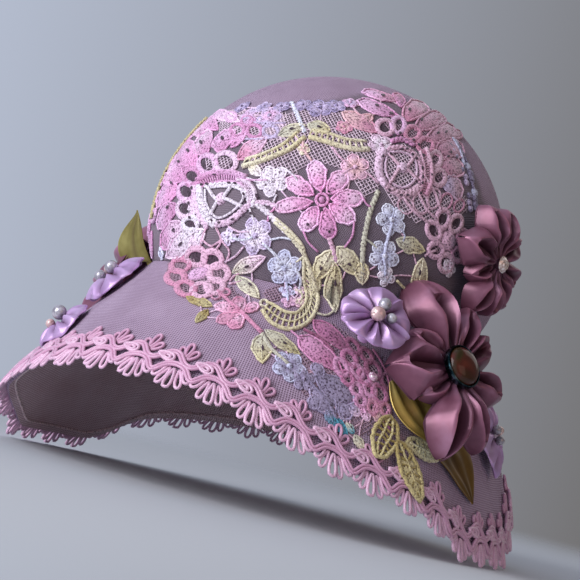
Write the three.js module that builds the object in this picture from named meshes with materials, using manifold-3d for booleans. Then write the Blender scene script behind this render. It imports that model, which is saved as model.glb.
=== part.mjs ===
// A bell-brimmed cloche: a woven straw crown and brim, a lace panel over the crown's front,
// gathered ribbon flowers with beads on both sides, ribbon and lace leaves, and a looped braid
// round the edge. Millimetres, +Z up, the front toward -Y, the wearer's left toward +X.
import * as THREE from 'three';
import Module from 'manifold-3d';

const wasm = await Module();
wasm.setup();

// Straw crown and brim
const STRAW = 1.8;
const GAP = 0.3;
const HEAD = { z: 112, x: 86, y: 96 };
const WIDEST = { z: 139, x: 94.5, y: 101.5 };
const CROWN_TOP = 236;
const CROWN_ROUNDNESS = 2.08;
const CROWN_LEAN = { x: 2.6, y: 1.5 };
const RIM = { x: -5.9, y: -3.4, radius: 146, backShorter: 8, fullAngle: -25 };
const BRIM_BOW = 3;
const CROWN_SIDES = 36;
const BRIM_SIDES = 40;
const MERIDIAN_STEPS = { upper: 60, lower: 14, brim: 40 };
const FRAME_REACH = 4;
const FRAME_TURN = 2;
const CROWN_ROWS = [0, 0.12, 0.24, 0.36, 0.48, 0.6, 0.71, 0.81, 0.9, 0.96, 1];
const BRIM_ROWS = [0, 0.12, 0.3, 0.5, 0.7, 0.88, 1];

// Height of the loops' tips round the brim, the same on both sides, by the angle from the front
const RIM_HEIGHT = [
  { angle: 0, height: 48 },
  { angle: 10, height: 47 },
  { angle: 20, height: 43.5 },
  { angle: 30, height: 37 },
  { angle: 45, height: 25 },
  { angle: 60, height: 17.5 },
  { angle: 71, height: 8.5 },
  { angle: 79, height: 0 },
  { angle: 101, height: 0 },
  { angle: 108, height: 5 },
  { angle: 114, height: 14 },
  { angle: 120, height: 21 },
  { angle: 135, height: 28 },
  { angle: 150, height: 31 },
  { angle: 180, height: 33 },
];

// Looped braid
const BRAID = {
  repeats: 42, thick: 2.2, loopDrop: 9.5, above: 14, scallopLow: 3.5, scallopHigh: 3, edgeHold: 1,
};
const BRAID_STEPS = [{ at: 0, notch: 1 }, { at: 0.28, notch: 0 }, { at: 0.72, notch: 0 }];

// Lace panel: where it begins and ends down from the crown's apex, column by column
const LACE = { lift: 1.7, thick: 1.2, rows: 9 };
const LACE_CUT = { sides: 6, reach: 6, below: 3, above: 4 };
const LACE_COLUMNS = [
  { angle: -62, top: 125, bottom: 178 },
  { angle: -50, top: 106, bottom: 190 },
  { angle: -38, top: 98, bottom: 195 },
  { angle: -26, top: 93, bottom: 199 },
  { angle: -14, top: 89, bottom: 206 },
  { angle: -3, top: 85, bottom: 214 },
  { angle: 8, top: 75, bottom: 222 },
  { angle: 19, top: 61, bottom: 229 },
  { angle: 29, top: 44, bottom: 240 },
  { angle: 38, top: 33, bottom: 249 },
  { angle: 48, top: 41, bottom: 257 },
  { angle: 58, top: 48, bottom: 258 },
  { angle: 65, top: 52, bottom: 222 },
  { angle: 74, top: 56, bottom: 186 },
  { angle: 83, top: 78, bottom: 172 },
  { angle: 89, top: 110, bottom: 150 },
];

// Gaps in the lace where the straw shows: place, size along and across, and turn
const LACE_GAPS = [
  { angle: -11, down: 147, wide: 9, tall: 10, turn: 0 },
  { angle: -1, down: 147, wide: 9, tall: 10, turn: 0 },
  { angle: -5, down: 158, wide: 12, tall: 6, turn: 0 },
  { angle: -18, down: 131, wide: 6, tall: 6, turn: 0 },
  { angle: -10, down: 129, wide: 6, tall: 6, turn: 0 },
  { angle: -23, down: 139, wide: 6, tall: 5, turn: 30 },
  { angle: -23, down: 148, wide: 5, tall: 6, turn: 0 },
  { angle: -20, down: 157, wide: 5, tall: 6, turn: 0 },
  { angle: -8, down: 171, wide: 12, tall: 8, turn: 0 },
  { angle: -11, down: 182, wide: 5, tall: 7, turn: 20 },
  { angle: -4, down: 182, wide: 5, tall: 7, turn: -20 },
  { angle: -18, down: 187, wide: 7, tall: 5, turn: 0 },
  { angle: 2, down: 189, wide: 7, tall: 5, turn: 0 },
  { angle: -13, down: 198, wide: 6, tall: 5, turn: -30 },
  { angle: -6, down: 203, wide: 5, tall: 7, turn: 0 },
  { angle: 0, down: 199, wide: 6, tall: 5, turn: 30 },
  { angle: 45, down: 105, wide: 8, tall: 8, turn: 0 },
  { angle: 51, down: 109, wide: 8, tall: 9, turn: 0 },
  { angle: 39, down: 87, wide: 6, tall: 6, turn: 0 },
  { angle: 45, down: 78, wide: 6, tall: 6, turn: 0 },
  { angle: 53, down: 81, wide: 6, tall: 6, turn: 0 },
  { angle: 60, down: 87, wide: 6, tall: 6, turn: 0 },
  { angle: 64, down: 95, wide: 6, tall: 6, turn: 0 },
  { angle: 65, down: 105, wide: 6, tall: 6, turn: 0 },
  { angle: 65, down: 125, wide: 5, tall: 7, turn: 20 },
  { angle: 71, down: 124, wide: 5, tall: 7, turn: -20 },
  { angle: 62, down: 133, wide: 7, tall: 5, turn: 0 },
  { angle: 76, down: 131, wide: 7, tall: 5, turn: 0 },
  { angle: 64, down: 142, wide: 6, tall: 5, turn: -30 },
  { angle: 70, down: 146, wide: 5, tall: 7, turn: 0 },
  { angle: 21, down: 156, wide: 14, tall: 9, turn: -20 },
  { angle: 36, down: 154, wide: 11, tall: 12, turn: 0 },
  { angle: 43, down: 152, wide: 7, tall: 14, turn: 0 },
  { angle: 7, down: 172, wide: 14, tall: 8, turn: 10 },
  { angle: 14, down: 186, wide: 13, tall: 7, turn: -25 },
  { angle: 27, down: 180, wide: 7, tall: 14, turn: 0 },
  { angle: 38, down: 176, wide: 7, tall: 14, turn: 0 },
  { angle: 47, down: 168, wide: 9, tall: 14, turn: 0 },
  { angle: 12, down: 149, wide: 9, tall: 12, turn: 0 },
  { angle: 53, down: 142, wide: 11, tall: 9, turn: 0 },
  { angle: 21, down: 218, wide: 10, tall: 6, turn: -20 },
  { angle: 43, down: 221, wide: 6, tall: 9, turn: 30 },
  { angle: 48, down: 214, wide: 6, tall: 9, turn: 30 },
  { angle: 37, down: 229, wide: 9, tall: 7, turn: 0 },
  { angle: 52, down: 231, wide: 7, tall: 9, turn: 0 },
  { angle: 38, down: 243, wide: 8, tall: 7, turn: 0 },
];

// Gathered ribbon flowers: place of the centre, the way it faces, radius, number of gathers and
// their depth, how deeply the outline is notched between them, how far it is turned round, how far
// the outline sags back, and how far its centre and the foot of its hub stand off the straw
const FLOWERS = [
  {
    name: 'lilac_flower', angle: 47.5, facing: 38, down: 205, stand: 22.5, foot: 4,
    radius: 18.5, gathers: 12, depth: 1.6, notch: 0.08, turn: 0, sag: 0.4, ribbon: 'lilac',
  },
  {
    name: 'rose_flower', angle: 69, facing: 64, down: 215, stand: 22, foot: 0.7,
    radius: 44, gathers: 7, depth: 4.5, notch: 0.5, turn: 24, sag: 6, ribbon: 'rose',
  },
  {
    name: 'upper_rose_flower', angle: 82.5, facing: 84, down: 139, stand: 13.5, foot: 3.6,
    radius: 28, gathers: 6, depth: 3.5, notch: 0.3, turn: 0, sag: 4, ribbon: 'rose',
  },
  {
    name: 'violet_flower', angle: 98, facing: 104, down: 233, stand: 6, foot: 0.8,
    radius: 20, gathers: 8, depth: 2.5, notch: 0.15, turn: 0, sag: 1.5, ribbon: 'lilac',
  },
  {
    name: 'side_lilac_flower', angle: -45, facing: -48, down: 207, stand: 6.5, foot: 0.8,
    radius: 19, gathers: 12, depth: 1.6, notch: 0.08, turn: 0, sag: 0.4, ribbon: 'lilac',
  },
  {
    name: 'side_rose_flower', angle: -82, facing: -84, down: 200, stand: 19, foot: 1.5,
    radius: 40, gathers: 7, depth: 4.5, notch: 0.35, turn: 6, sag: 5, ribbon: 'rose',
  },
  {
    name: 'low_lilac_flower', angle: -37, facing: -42, down: 245, stand: 4.5, foot: 0.8,
    radius: 16, gathers: 12, depth: 1.4, notch: 0.08, turn: 0, sag: 0.4, ribbon: 'lilac',
  },
];
const RIBBON_WALL = 1.2;
const HUB = { radius: 5, foot: 3 };
const PETAL_ROUNDNESS = 0.55;
const FLOWER_RINGS = [0.66, 1];
const FLOWER_REACH = 0.9;
const GATHER_SAMPLES = [{ upTo: 7, samples: 5 }, { upTo: 9, samples: 3 }, { upTo: 12, samples: 2 }];

// Round beads: the flower that carries each, its place on the flower, and its radius
const BEADS = [
  { name: 'peach_pearl', on: 'lilac_flower', east: -1.5, south: 2, radius: 3.9, finish: 'peach' },
  { name: 'grey_pearl', on: 'lilac_flower', east: 1.5, south: -5.4, radius: 3.5, finish: 'grey' },
  { name: 'small_grey_pearl', on: 'lilac_flower', east: 6, south: 1, radius: 2.8, finish: 'grey' },
  { name: 'violet_bead_a', on: 'violet_flower', east: -3, south: -2, radius: 2.6, finish: 'grey' },
  { name: 'violet_bead_b', on: 'violet_flower', east: 3, south: -2, radius: 2.6, finish: 'peach' },
  { name: 'violet_bead_c', on: 'violet_flower', east: 0, south: 3.4, radius: 2.6, finish: 'grey' },
  { name: 'side_pearl_a', on: 'side_lilac_flower', east: -1, south: 4.6, radius: 3.2, finish: 'grey' },
  { name: 'side_pearl_b', on: 'side_lilac_flower', east: -4, south: -1.8, radius: 3.2, finish: 'peach' },
  { name: 'side_pearl_c', on: 'side_lilac_flower', east: 3.2, south: -2.6, radius: 3.6, finish: 'grey' },
  { name: 'low_pearl', on: 'low_lilac_flower', east: 0, south: -2.6, radius: 4.1, finish: 'grey' },
  { name: 'low_small_pearl', on: 'low_lilac_flower', east: -0.5, south: 4.6, radius: 2.6, finish: 'peach' },
];
const BEAD_SIDES = 10;
const BEAD_RINGS = 5;
const BEAD_HEIGHT = 0.5;

// Set stones
const CABOCHON = { on: 'rose_flower', lift: 2.8, radius: 9.8, height: 6, rim: 0.8, sides: 16 };
const CABOCHON_DOME = [{ out: 0.5, up: 0.88 }, { out: 0.85, up: 0.55 }];
const BEZEL = { wall: 1.4, height: 3.4, floor: 1.2 };
const CRYSTAL = { on: 'upper_rose_flower', girdle: 4, table: 2.2, crown: 1.8, pavilion: 2.6, sides: 8 };
const LACE_CRYSTAL = { angle: 50, down: 226, girdle: 2, table: 1.1, crown: 0.9, pavilion: 1.3, sides: 8 };
const GIRDLE_EDGE = 0.1;

// Ribbon and lace leaves laid on the hat: where each begins, its run east and south, its greatest
// width, the fold along its middle, and its lift off the straw
const LEAVES = [
  {
    name: 'ribbon_leaf', kind: 'ribbon', angle: 57, down: 224,
    east: 24, south: 24, width: 15, fold: 1.6, lift: 3.1,
  },
  {
    name: 'ribbon_tail', kind: 'ribbon', angle: 79, down: 244,
    east: 10, south: 28, width: 24, fold: 1, lift: 0.5,
  },
  {
    name: 'side_leaf', kind: 'ribbon', angle: -68, down: 186,
    east: 4, south: -32, width: 16, fold: 2.4, lift: 1,
  },
  {
    name: 'sprig_leaf_a', kind: 'lace', angle: 55, down: 247,
    east: -7, south: 18, width: 15, fold: 0.4, lift: 2.7,
  },
  {
    name: 'sprig_leaf_b', kind: 'lace', angle: 57.5, down: 257,
    east: 13, south: 24, width: 9, fold: 0.4, lift: 3,
  },
  {
    name: 'sprig_leaf_c', kind: 'lace', angle: 60, down: 252.5,
    east: 23, south: 2, width: 9, fold: 0.4, lift: 0.4,
  },
];
const LEAF_STEPS = 7;
const LEAF_TIPS = { first: 0.06, span: 0.9, least: 0.08, roundness: 0.8 };
const LEAF_REACH = 12;

const MATERIALS = {
  straw: { color: 0xa98aa6, roughness: 0.75, metalness: 0 },
  braid: { color: 0xcd8fbb, roughness: 0.4, metalness: 0 },
  lace: { color: 0xdcb0d4, roughness: 0.8, metalness: 0 },
  lilac: { color: 0xa88fc8, roughness: 0.35, metalness: 0 },
  rose: { color: 0x985a74, roughness: 0.35, metalness: 0 },
  ribbon: { color: 0x857a3e, roughness: 0.4, metalness: 0 },
  sprig: { color: 0xbdb57c, roughness: 0.8, metalness: 0 },
  grey: { color: 0x9a98a6, roughness: 0.2, metalness: 0.2 },
  peach: { color: 0xd9b8ae, roughness: 0.2, metalness: 0.2 },
  glass: { color: 0x5a3a34, roughness: 0.08, metalness: 0 },
  metal: { color: 0x6f7480, roughness: 0.25, metalness: 1 },
};

const radians = THREE.MathUtils.degToRad;

// A smooth curve through a table that keeps its flat stretches flat
function through(rows, key, value, at) {
  let i = rows.findIndex((row) => row[key] > at) - 1;
  if (i === -2) i = rows.length - 2;
  i = Math.max(i, 0);
  const rise = (k) => (rows[k + 1][value] - rows[k][value]) / (rows[k + 1][key] - rows[k][key]);
  const slope = (k) => {
    if (k === 0 || k === rows.length - 1) return 0;
    const before = rise(k - 1);
    const after = rise(k);
    return before * after <= 0 ? 0 : (2 * before * after) / (before + after);
  };
  const span = rows[i + 1][key] - rows[i][key];
  const t = (at - rows[i][key]) / span;
  const bend = (1 - t) ** 2 * t * span * slope(i) - (1 - t) * t ** 2 * span * slope(i + 1);
  const ease = t * t * (3 - 2 * t);
  return rows[i][value] + (rows[i + 1][value] - rows[i][value]) * ease + bend;
}

function rimHeight(angle) {
  const turned = Math.abs(THREE.MathUtils.euclideanModulo(angle + 180, 360) - 180);
  return through(RIM_HEIGHT, 'angle', 'height', turned);
}

function rimPoint(angle) {
  const short = Math.max(-Math.cos(radians(angle - RIM.fullAngle)), 0);
  const radius = RIM.radius - RIM.backShorter * short;
  const a = radians(angle);
  return new THREE.Vector3(RIM.x + radius * Math.sin(a), RIM.y - radius * Math.cos(a), rimHeight(angle));
}

// The crown's outside; step runs 0 at the apex, 1 at the widest ring, 2 at the head line
function crownPoint(angle, step) {
  const a = radians(angle);
  const up = Math.min(step, 1) * Math.PI / 2;
  const low = Math.max(step - 1, 0);
  const wide = Math.max(Math.sin(up), 0) ** (2 / CROWN_ROUNDNESS);
  const high = Math.max(Math.cos(up), 0) ** (2 / CROWN_ROUNDNESS);
  const x = WIDEST.x * wide + (HEAD.x - WIDEST.x) * low ** 2;
  const y = WIDEST.y * wide + (HEAD.y - WIDEST.y) * low ** 2;
  const z = WIDEST.z + (CROWN_TOP - WIDEST.z) * (step < 1 ? high : 0) + (HEAD.z - WIDEST.z) * low;
  const lean = (z - HEAD.z) / (CROWN_TOP - HEAD.z);
  const point = new THREE.Vector3(x * Math.sin(a), -y * Math.cos(a), z);
  point.x += CROWN_LEAN.x * lean;
  point.y += CROWN_LEAN.y * lean;
  return point;
}

// The brim's outside; along runs 0 at the head line to 1 at the loops' tips
function brimPoint(angle, along) {
  const a = radians(angle);
  const start = new THREE.Vector3(HEAD.x * Math.sin(a), -HEAD.y * Math.cos(a), HEAD.z);
  const run = rimPoint(angle).sub(start);
  const slope = run.clone().normalize();
  const bow = new THREE.Vector3(Math.sin(a), -Math.cos(a), 0);
  bow.addScaledVector(slope, -bow.dot(slope)).normalize();
  return start.addScaledVector(run, along).addScaledVector(bow, BRIM_BOW * 4 * along * (1 - along));
}

// One line from the apex to the loops' tips, with its length at each point
const meridians = new Map();
function meridian(angle) {
  const key = angle.toFixed(4);
  if (meridians.has(key)) return meridians.get(key);
  const { upper, lower, brim: wide } = MERIDIAN_STEPS;
  const points = [];
  for (let i = 0; i < upper; i++) points.push(crownPoint(angle, i / upper));
  for (let i = 0; i < lower; i++) points.push(crownPoint(angle, 1 + i / lower));
  for (let i = 0; i <= wide; i++) points.push(brimPoint(angle, i / wide));
  const lengths = [0];
  for (let i = 1; i < points.length; i++) {
    lengths.push(lengths[i - 1] + points[i].distanceTo(points[i - 1]));
  }
  const line = { points, lengths, head: lengths[upper + lower], end: lengths.at(-1) };
  meridians.set(key, line);
  return line;
}

function hatPoint(angle, down) {
  const { points, lengths, end } = meridian(angle);
  const at = THREE.MathUtils.clamp(down, 0, end - 1e-6);
  const i = Math.max(lengths.findIndex((length) => length > at) - 1, 0);
  const t = (at - lengths[i]) / (lengths[i + 1] - lengths[i]);
  return points[i].clone().lerp(points[i + 1], t);
}

// The way south, east and out of the hat's surface, taken over a reach of its slope
function hatFrame(angle, down, reach) {
  const south = hatPoint(angle, down + reach).sub(hatPoint(angle, down - reach)).normalize();
  const east = hatPoint(angle + FRAME_TURN, down).sub(hatPoint(angle - FRAME_TURN, down)).normalize();
  const out = new THREE.Vector3().crossVectors(south, east).normalize();
  if (down < reach / 2) out.set(0, 0, 1);
  return { south, east: new THREE.Vector3().crossVectors(out, south), out };
}

function onHat(angle, down, lift, reach = FRAME_REACH) {
  return hatPoint(angle, down).addScaledVector(hatFrame(angle, down, reach).out, lift);
}

// A place a few millimetres east and south of another on the hat's surface
function beside(angle, down, east, south) {
  const { x, y } = hatPoint(angle, down + south);
  return { angle: angle + THREE.MathUtils.radToDeg(east / Math.hypot(x, y)), down: down + south };
}

function geometryOf(points, triangles) {
  const geometry = new THREE.BufferGeometry();
  const places = points.flatMap(({ x, y, z }) => [x, y, z]);
  geometry.setAttribute('position', new THREE.Float32BufferAttribute(places, 3));
  geometry.setIndex(triangles);
  return geometry;
}

function quad(triangles, a, b, c, d) {
  triangles.push(a, b, c, a, c, d);
}

// A closed body from rings of points; a ring of one point is a pole, and without poles the last
// ring joins the first
function ringBody(rings) {
  const points = rings.flat();
  const firsts = [0];
  for (const ring of rings) firsts.push(firsts.at(-1) + ring.length);
  const triangles = [];
  const join = (i, j) => {
    const count = Math.max(rings[i].length, rings[j].length);
    for (let k = 0; k < count; k++) {
      const next = (k + 1) % count;
      if (rings[i].length === 1) triangles.push(firsts[i], firsts[j] + k, firsts[j] + next);
      else if (rings[j].length === 1) triangles.push(firsts[i] + next, firsts[i] + k, firsts[j]);
      else quad(triangles, firsts[i] + next, firsts[i] + k, firsts[j] + k, firsts[j] + next);
    }
  };
  for (let i = 0; i + 1 < rings.length; i++) join(i, i + 1);
  if (rings[0].length > 1) join(rings.length - 1, 0);
  return outward(geometryOf(points, triangles));
}

// A closed sheet from two like grids of points, an outer and an inner
function sheetBody(outer, inner) {
  const rows = outer.length;
  const columns = outer[0].length;
  const points = [...outer.flat(), ...inner.flat()];
  const triangles = [];
  const at = (side, r, c) => side * rows * columns + r * columns + c;
  for (let r = 0; r + 1 < rows; r++) {
    for (let c = 0; c + 1 < columns; c++) {
      quad(triangles, at(0, r, c), at(0, r + 1, c), at(0, r + 1, c + 1), at(0, r, c + 1));
      quad(triangles, at(1, r, c), at(1, r, c + 1), at(1, r + 1, c + 1), at(1, r + 1, c));
    }
  }
  const edge = [];
  for (let c = 0; c < columns - 1; c++) edge.push([0, c]);
  for (let r = 0; r < rows - 1; r++) edge.push([r, columns - 1]);
  for (let c = columns - 1; c > 0; c--) edge.push([rows - 1, c]);
  for (let r = rows - 1; r > 0; r--) edge.push([r, 0]);
  edge.forEach(([r, c], i) => {
    const [nextR, nextC] = edge[(i + 1) % edge.length];
    quad(triangles, at(0, r, c), at(0, nextR, nextC), at(1, nextR, nextC), at(1, r, c));
  });
  return outward(geometryOf(points, triangles));
}

// Turns the faces round where the body came out inside out
function outward(geometry) {
  const p = geometry.getAttribute('position');
  const index = geometry.getIndex().array;
  const [a, b, c] = [0, 1, 2].map(() => new THREE.Vector3());
  let volume = 0;
  for (let i = 0; i < index.length; i += 3) {
    a.fromBufferAttribute(p, index[i]);
    b.fromBufferAttribute(p, index[i + 1]);
    c.fromBufferAttribute(p, index[i + 2]);
    volume += a.dot(b.cross(c));
  }
  if (volume < 0) {
    for (let i = 0; i < index.length; i += 3) [index[i + 1], index[i + 2]] = [index[i + 2], index[i + 1]];
  }
  return geometry;
}

function solidOf(geometry) {
  const vertProperties = new Float32Array(geometry.getAttribute('position').array);
  const triVerts = new Uint32Array(geometry.getIndex().array);
  return new wasm.Manifold(new wasm.Mesh({ numProp: 3, vertProperties, triVerts }));
}

function geometryFrom(solid) {
  const { vertProperties, triVerts, numProp } = solid.getMesh();
  const positions = [];
  for (let i = 0; i < vertProperties.length; i += numProp) {
    positions.push(...vertProperties.slice(i, i + 3));
  }
  const geometry = new THREE.BufferGeometry();
  geometry.setAttribute('position', new THREE.Float32BufferAttribute(positions, 3));
  geometry.setIndex(Array.from(triVerts));
  return geometry;
}

const hat = new THREE.Group();
function add(name, geometry, material) {
  const mesh = new THREE.Mesh(geometry, new THREE.MeshStandardMaterial(MATERIALS[material]));
  mesh.name = name;
  hat.add(mesh);
}

function ringRound(sides, pointAt) {
  return Array.from({ length: sides }, (_, i) => pointAt((360 * i) / sides));
}

// Crown: one wall from the apex to the head line and back up its inside
function crown() {
  const ring = (row, lift) => {
    if (row === 0) return [onHat(0, 0, lift)];
    return ringRound(CROWN_SIDES, (angle) => onHat(angle, row * (meridian(angle).head - GAP / 2), lift));
  };
  const outside = CROWN_ROWS.map((row) => ring(row, 0));
  const inside = CROWN_ROWS.map((row) => ring(row, -STRAW)).reverse();
  return ringBody([...outside, ...inside]);
}

// Brim: one wall from the head line to the straw edge and back up its inside
function brim() {
  const ring = (row, lift) => ringRound(BRIM_SIDES, (angle) => {
    const { head, end } = meridian(angle);
    const start = head + GAP / 2;
    return onHat(angle, start + row * (end - BRAID.loopDrop - start), lift);
  });
  const outside = BRIM_ROWS.map((row) => ring(row, 0));
  const inside = BRIM_ROWS.map((row) => ring(row, -STRAW)).reverse();
  return ringBody([...outside, ...inside]);
}

// Braid: a band outside the brim's edge, both its edges scalloped once a repeat, with flat foot
// faces under the loops
function edgeBraid() {
  const places = [];
  for (let i = 0; i < BRAID.repeats; i++) {
    for (const { at, notch } of BRAID_STEPS) {
      places.push({ angle: (360 * (i + at)) / BRAID.repeats, notch });
    }
  }
  const side = (lift) => (down) => places.map(({ angle, notch }) => {
    const { end } = meridian(angle);
    return onHat(angle, end - down(notch), lift);
  });
  const top = (notch) => BRAID.loopDrop + BRAID.above - BRAID.scallopHigh * notch;
  const middle = () => BRAID.loopDrop - BRAID.edgeHold;
  const foot = (lift) => places.map(({ angle, notch }) => {
    const rise = BRAID.scallopLow * notch;
    const point = onHat(angle, meridian(angle).end - rise, lift);
    point.z = rimHeight(angle) + rise;
    return point;
  });
  const back = side(2 * GAP);
  const face = side(2 * GAP + BRAID.thick);
  const rings = [face(top), face(middle), foot(2 * GAP + BRAID.thick), foot(2 * GAP), back(top)];
  return ringBody(rings);
}

// Lace: a thin panel over crown and brim, cut through at the gaps of its pattern
function lace() {
  const grid = (lift) => LACE_COLUMNS.map(({ angle, top, bottom }) => {
    const step = (bottom - top) / LACE.rows;
    return Array.from({ length: LACE.rows + 1 }, (_, i) => onHat(angle, top + step * i, lift));
  });
  const panel = solidOf(sheetBody(grid(LACE.lift + LACE.thick), grid(LACE.lift)));
  return geometryFrom(LACE_GAPS.reduce((left, gap) => left.subtract(solidOf(lacePlug(gap))), panel));
}

function lacePlug({ angle, down, wide, tall, turn }) {
  const { east, south, out } = hatFrame(angle, down, LACE_CUT.reach);
  const centre = hatPoint(angle, down);
  const ring = (lift) => ringRound(LACE_CUT.sides, (step) => {
    const u = (wide / 2) * Math.cos(radians(step));
    const v = (tall / 2) * Math.sin(radians(step));
    const c = Math.cos(radians(turn));
    const s = Math.sin(radians(turn));
    const point = centre.clone().addScaledVector(east, u * c - v * s);
    return point.addScaledVector(south, u * s + v * c).addScaledVector(out, lift);
  });
  const low = LACE.lift - LACE_CUT.below;
  const high = LACE.lift + LACE.thick + LACE_CUT.above;
  const pole = (lift) => [centre.clone().addScaledVector(out, lift)];
  return ringBody([pole(low), ring(low), ring(high), pole(high)]);
}

// The frame of a flower: its centre stands off the straw, and its disc bends round the hat
function flowerFrame({ angle, facing, down, radius, stand }) {
  const { east, south, out } = hatFrame(facing, down, radius * FLOWER_REACH);
  return { centre: onHat(angle, down, 0).addScaledVector(out, stand), east, south, out };
}

function onFlower(frame, east, south, lift) {
  const bend = (east * east) / (2 * HEAD.y);
  const point = frame.centre.clone().addScaledVector(frame.east, east).addScaledVector(frame.south, south);
  return point.addScaledVector(frame.out, lift - bend);
}

// A gathered ribbon flower: a ruffled wall round a hub that reaches down to the hat
function ribbonFlower(flower) {
  const frame = flowerFrame(flower);
  const { samples } = GATHER_SAMPLES.find(({ upTo }) => flower.gathers <= upTo);
  const count = flower.gathers * samples;
  const rings = [HUB.radius / flower.radius, ...FLOWER_RINGS];
  const ring = (part, drop) => Array.from({ length: count }, (_, i) => {
    const around = (2 * Math.PI * i) / count;
    const phase = (flower.gathers * (around - radians(flower.turn))) / 2;
    const petal = Math.abs(Math.cos(phase)) ** PETAL_ROUNDNESS;
    const reach = flower.radius * part * (1 - flower.notch * part * (1 - petal));
    const lift = flower.depth * (2 * petal - 1) * part - flower.sag * part ** 3;
    return onFlower(frame, reach * Math.cos(around), reach * Math.sin(around), lift - drop);
  });
  const hubFoot = flower.foot - flower.stand;
  const hub = Array.from({ length: count }, (_, i) => {
    const around = (2 * Math.PI * i) / count;
    return onFlower(frame, HUB.foot * Math.cos(around), HUB.foot * Math.sin(around), hubFoot);
  });
  const front = rings.map((part) => ring(part, 0));
  const back = rings.map((part) => ring(part, RIBBON_WALL)).reverse();
  return ringBody([[onFlower(frame, 0, 0, 0)], ...front, ...back, hub, [onFlower(frame, 0, 0, hubFoot)]]);
}

function laceCrystalFrame() {
  const { angle, down } = LACE_CRYSTAL;
  return { centre: onHat(angle, down, LACE.lift + LACE.thick), ...hatFrame(angle, down, FRAME_REACH) };
}

function flowerNamed(name) {
  return flowerFrame(FLOWERS.find((flower) => flower.name === name));
}

function placed(geometry, frame, east, south, lift) {
  const turn = new THREE.Matrix4().makeBasis(frame.east, frame.out, frame.south);
  geometry.applyMatrix4(turn);
  const { x, y, z } = onFlower(frame, east, south, lift);
  return geometry.translate(x, y, z);
}

function turned(profile, sides) {
  const rings = profile.map(([radius, height]) => {
    if (radius === 0) return [new THREE.Vector3(0, height, 0)];
    return ringRound(sides, (step) => {
      const a = radians(step);
      return new THREE.Vector3(radius * Math.cos(a), height, radius * Math.sin(a));
    });
  });
  return ringBody(rings);
}

function roundBead(radius) {
  const profile = Array.from({ length: BEAD_RINGS + 1 }, (_, i) => {
    const a = (Math.PI * i) / BEAD_RINGS;
    return [i === 0 || i === BEAD_RINGS ? 0 : radius * Math.sin(a), radius * Math.cos(a)];
  });
  return turned(profile, BEAD_SIDES);
}

// A glass dome in a metal bezel on the large rose flower
function cabochonGlass() {
  const { radius, height, rim, sides } = CABOCHON;
  const dome = CABOCHON_DOME.map(({ out, up }) => [radius * out, height * up]);
  return turned([[0, height], ...dome, [radius, rim], [radius, 0], [0, 0]], sides);
}

function cabochonBezel() {
  const inner = CABOCHON.radius + GAP;
  const outer = inner + BEZEL.wall;
  const outside = [[0, -BEZEL.floor], [outer, -BEZEL.floor], [outer, BEZEL.height]];
  const inside = [[inner, BEZEL.height], [inner, -GAP], [0, -GAP]];
  return turned([...outside, ...inside], CABOCHON.sides);
}

// A faceted crystal: table, crown, girdle and pavilion
function crystal({ girdle, table, crown: top, pavilion, sides }) {
  const edge = girdle * GIRDLE_EDGE;
  return turned([[0, top], [table, top], [girdle, edge], [girdle, -edge], [0, -pavilion]], sides);
}

// A leaf laid along the hat, pointed at both ends and folded along its middle
function leaf({ angle, down, east, south, width, fold, lift, kind }) {
  const length = Math.hypot(east, south);
  const across = [-1, 0, 1];
  const wall = kind === 'lace' ? LACE.thick : RIBBON_WALL;
  const grid = (drop) => Array.from({ length: LEAF_STEPS + 1 }, (_, i) => {
    const t = i / LEAF_STEPS;
    const swell = Math.sin(Math.PI * (LEAF_TIPS.first + LEAF_TIPS.span * t));
    const half = 0.5 * width * Math.max(swell, LEAF_TIPS.least) ** LEAF_TIPS.roundness;
    return across.map((side) => {
      const e = east * t + (-south / length) * side * half;
      const s = south * t + (east / length) * side * half;
      const spot = beside(angle, down, e, s);
      return onHat(spot.angle, spot.down, lift + fold * Math.abs(side) + wall - drop, LEAF_REACH);
    });
  });
  return sheetBody(grid(0), grid(wall));
}

add('crown', crown(), 'straw');
add('brim', brim(), 'straw');
add('edge_braid', edgeBraid(), 'braid');
add('lace', lace(), 'lace');
for (const flower of FLOWERS) add(flower.name, ribbonFlower(flower), flower.ribbon);
for (const { name, on, east, south, radius, finish } of BEADS) {
  add(name, placed(roundBead(radius), flowerNamed(on), east, south, radius + BEAD_HEIGHT), finish);
}
add('cabochon_bezel', placed(cabochonBezel(), flowerNamed(CABOCHON.on), 0, 0, CABOCHON.lift), 'metal');
add('cabochon', placed(cabochonGlass(), flowerNamed(CABOCHON.on), 0, 0, CABOCHON.lift), 'glass');
const crystalLift = CRYSTAL.pavilion + BEAD_HEIGHT;
add('crystal', placed(crystal(CRYSTAL), flowerNamed(CRYSTAL.on), 0, 0, crystalLift), 'glass');
const laceCrystalLift = LACE_CRYSTAL.pavilion + GAP;
add('lace_crystal', placed(crystal(LACE_CRYSTAL), laceCrystalFrame(), 0, 0, laceCrystalLift), 'peach');
for (const row of LEAVES) add(row.name, leaf(row), row.kind === 'lace' ? 'sprig' : 'ribbon');

// The origin is the middle of the part's box, on the surface it rests on
const box = new THREE.Box3().setFromObject(hat);
const middle = box.getCenter(new THREE.Vector3());
hat.position.set(-middle.x, -middle.y, -box.min.z);

export default hat;
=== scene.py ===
# %% [markdown]
# A straw cloche, trimmed with lace, ribbon flowers, beads and a looped braid.
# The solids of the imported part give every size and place. This lesson dresses them: each cell makes
# one piece or one finish, in metres, in the part's own frame.

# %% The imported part
import math

import bpy
import numpy as np
from mathutils import Matrix, Vector


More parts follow.
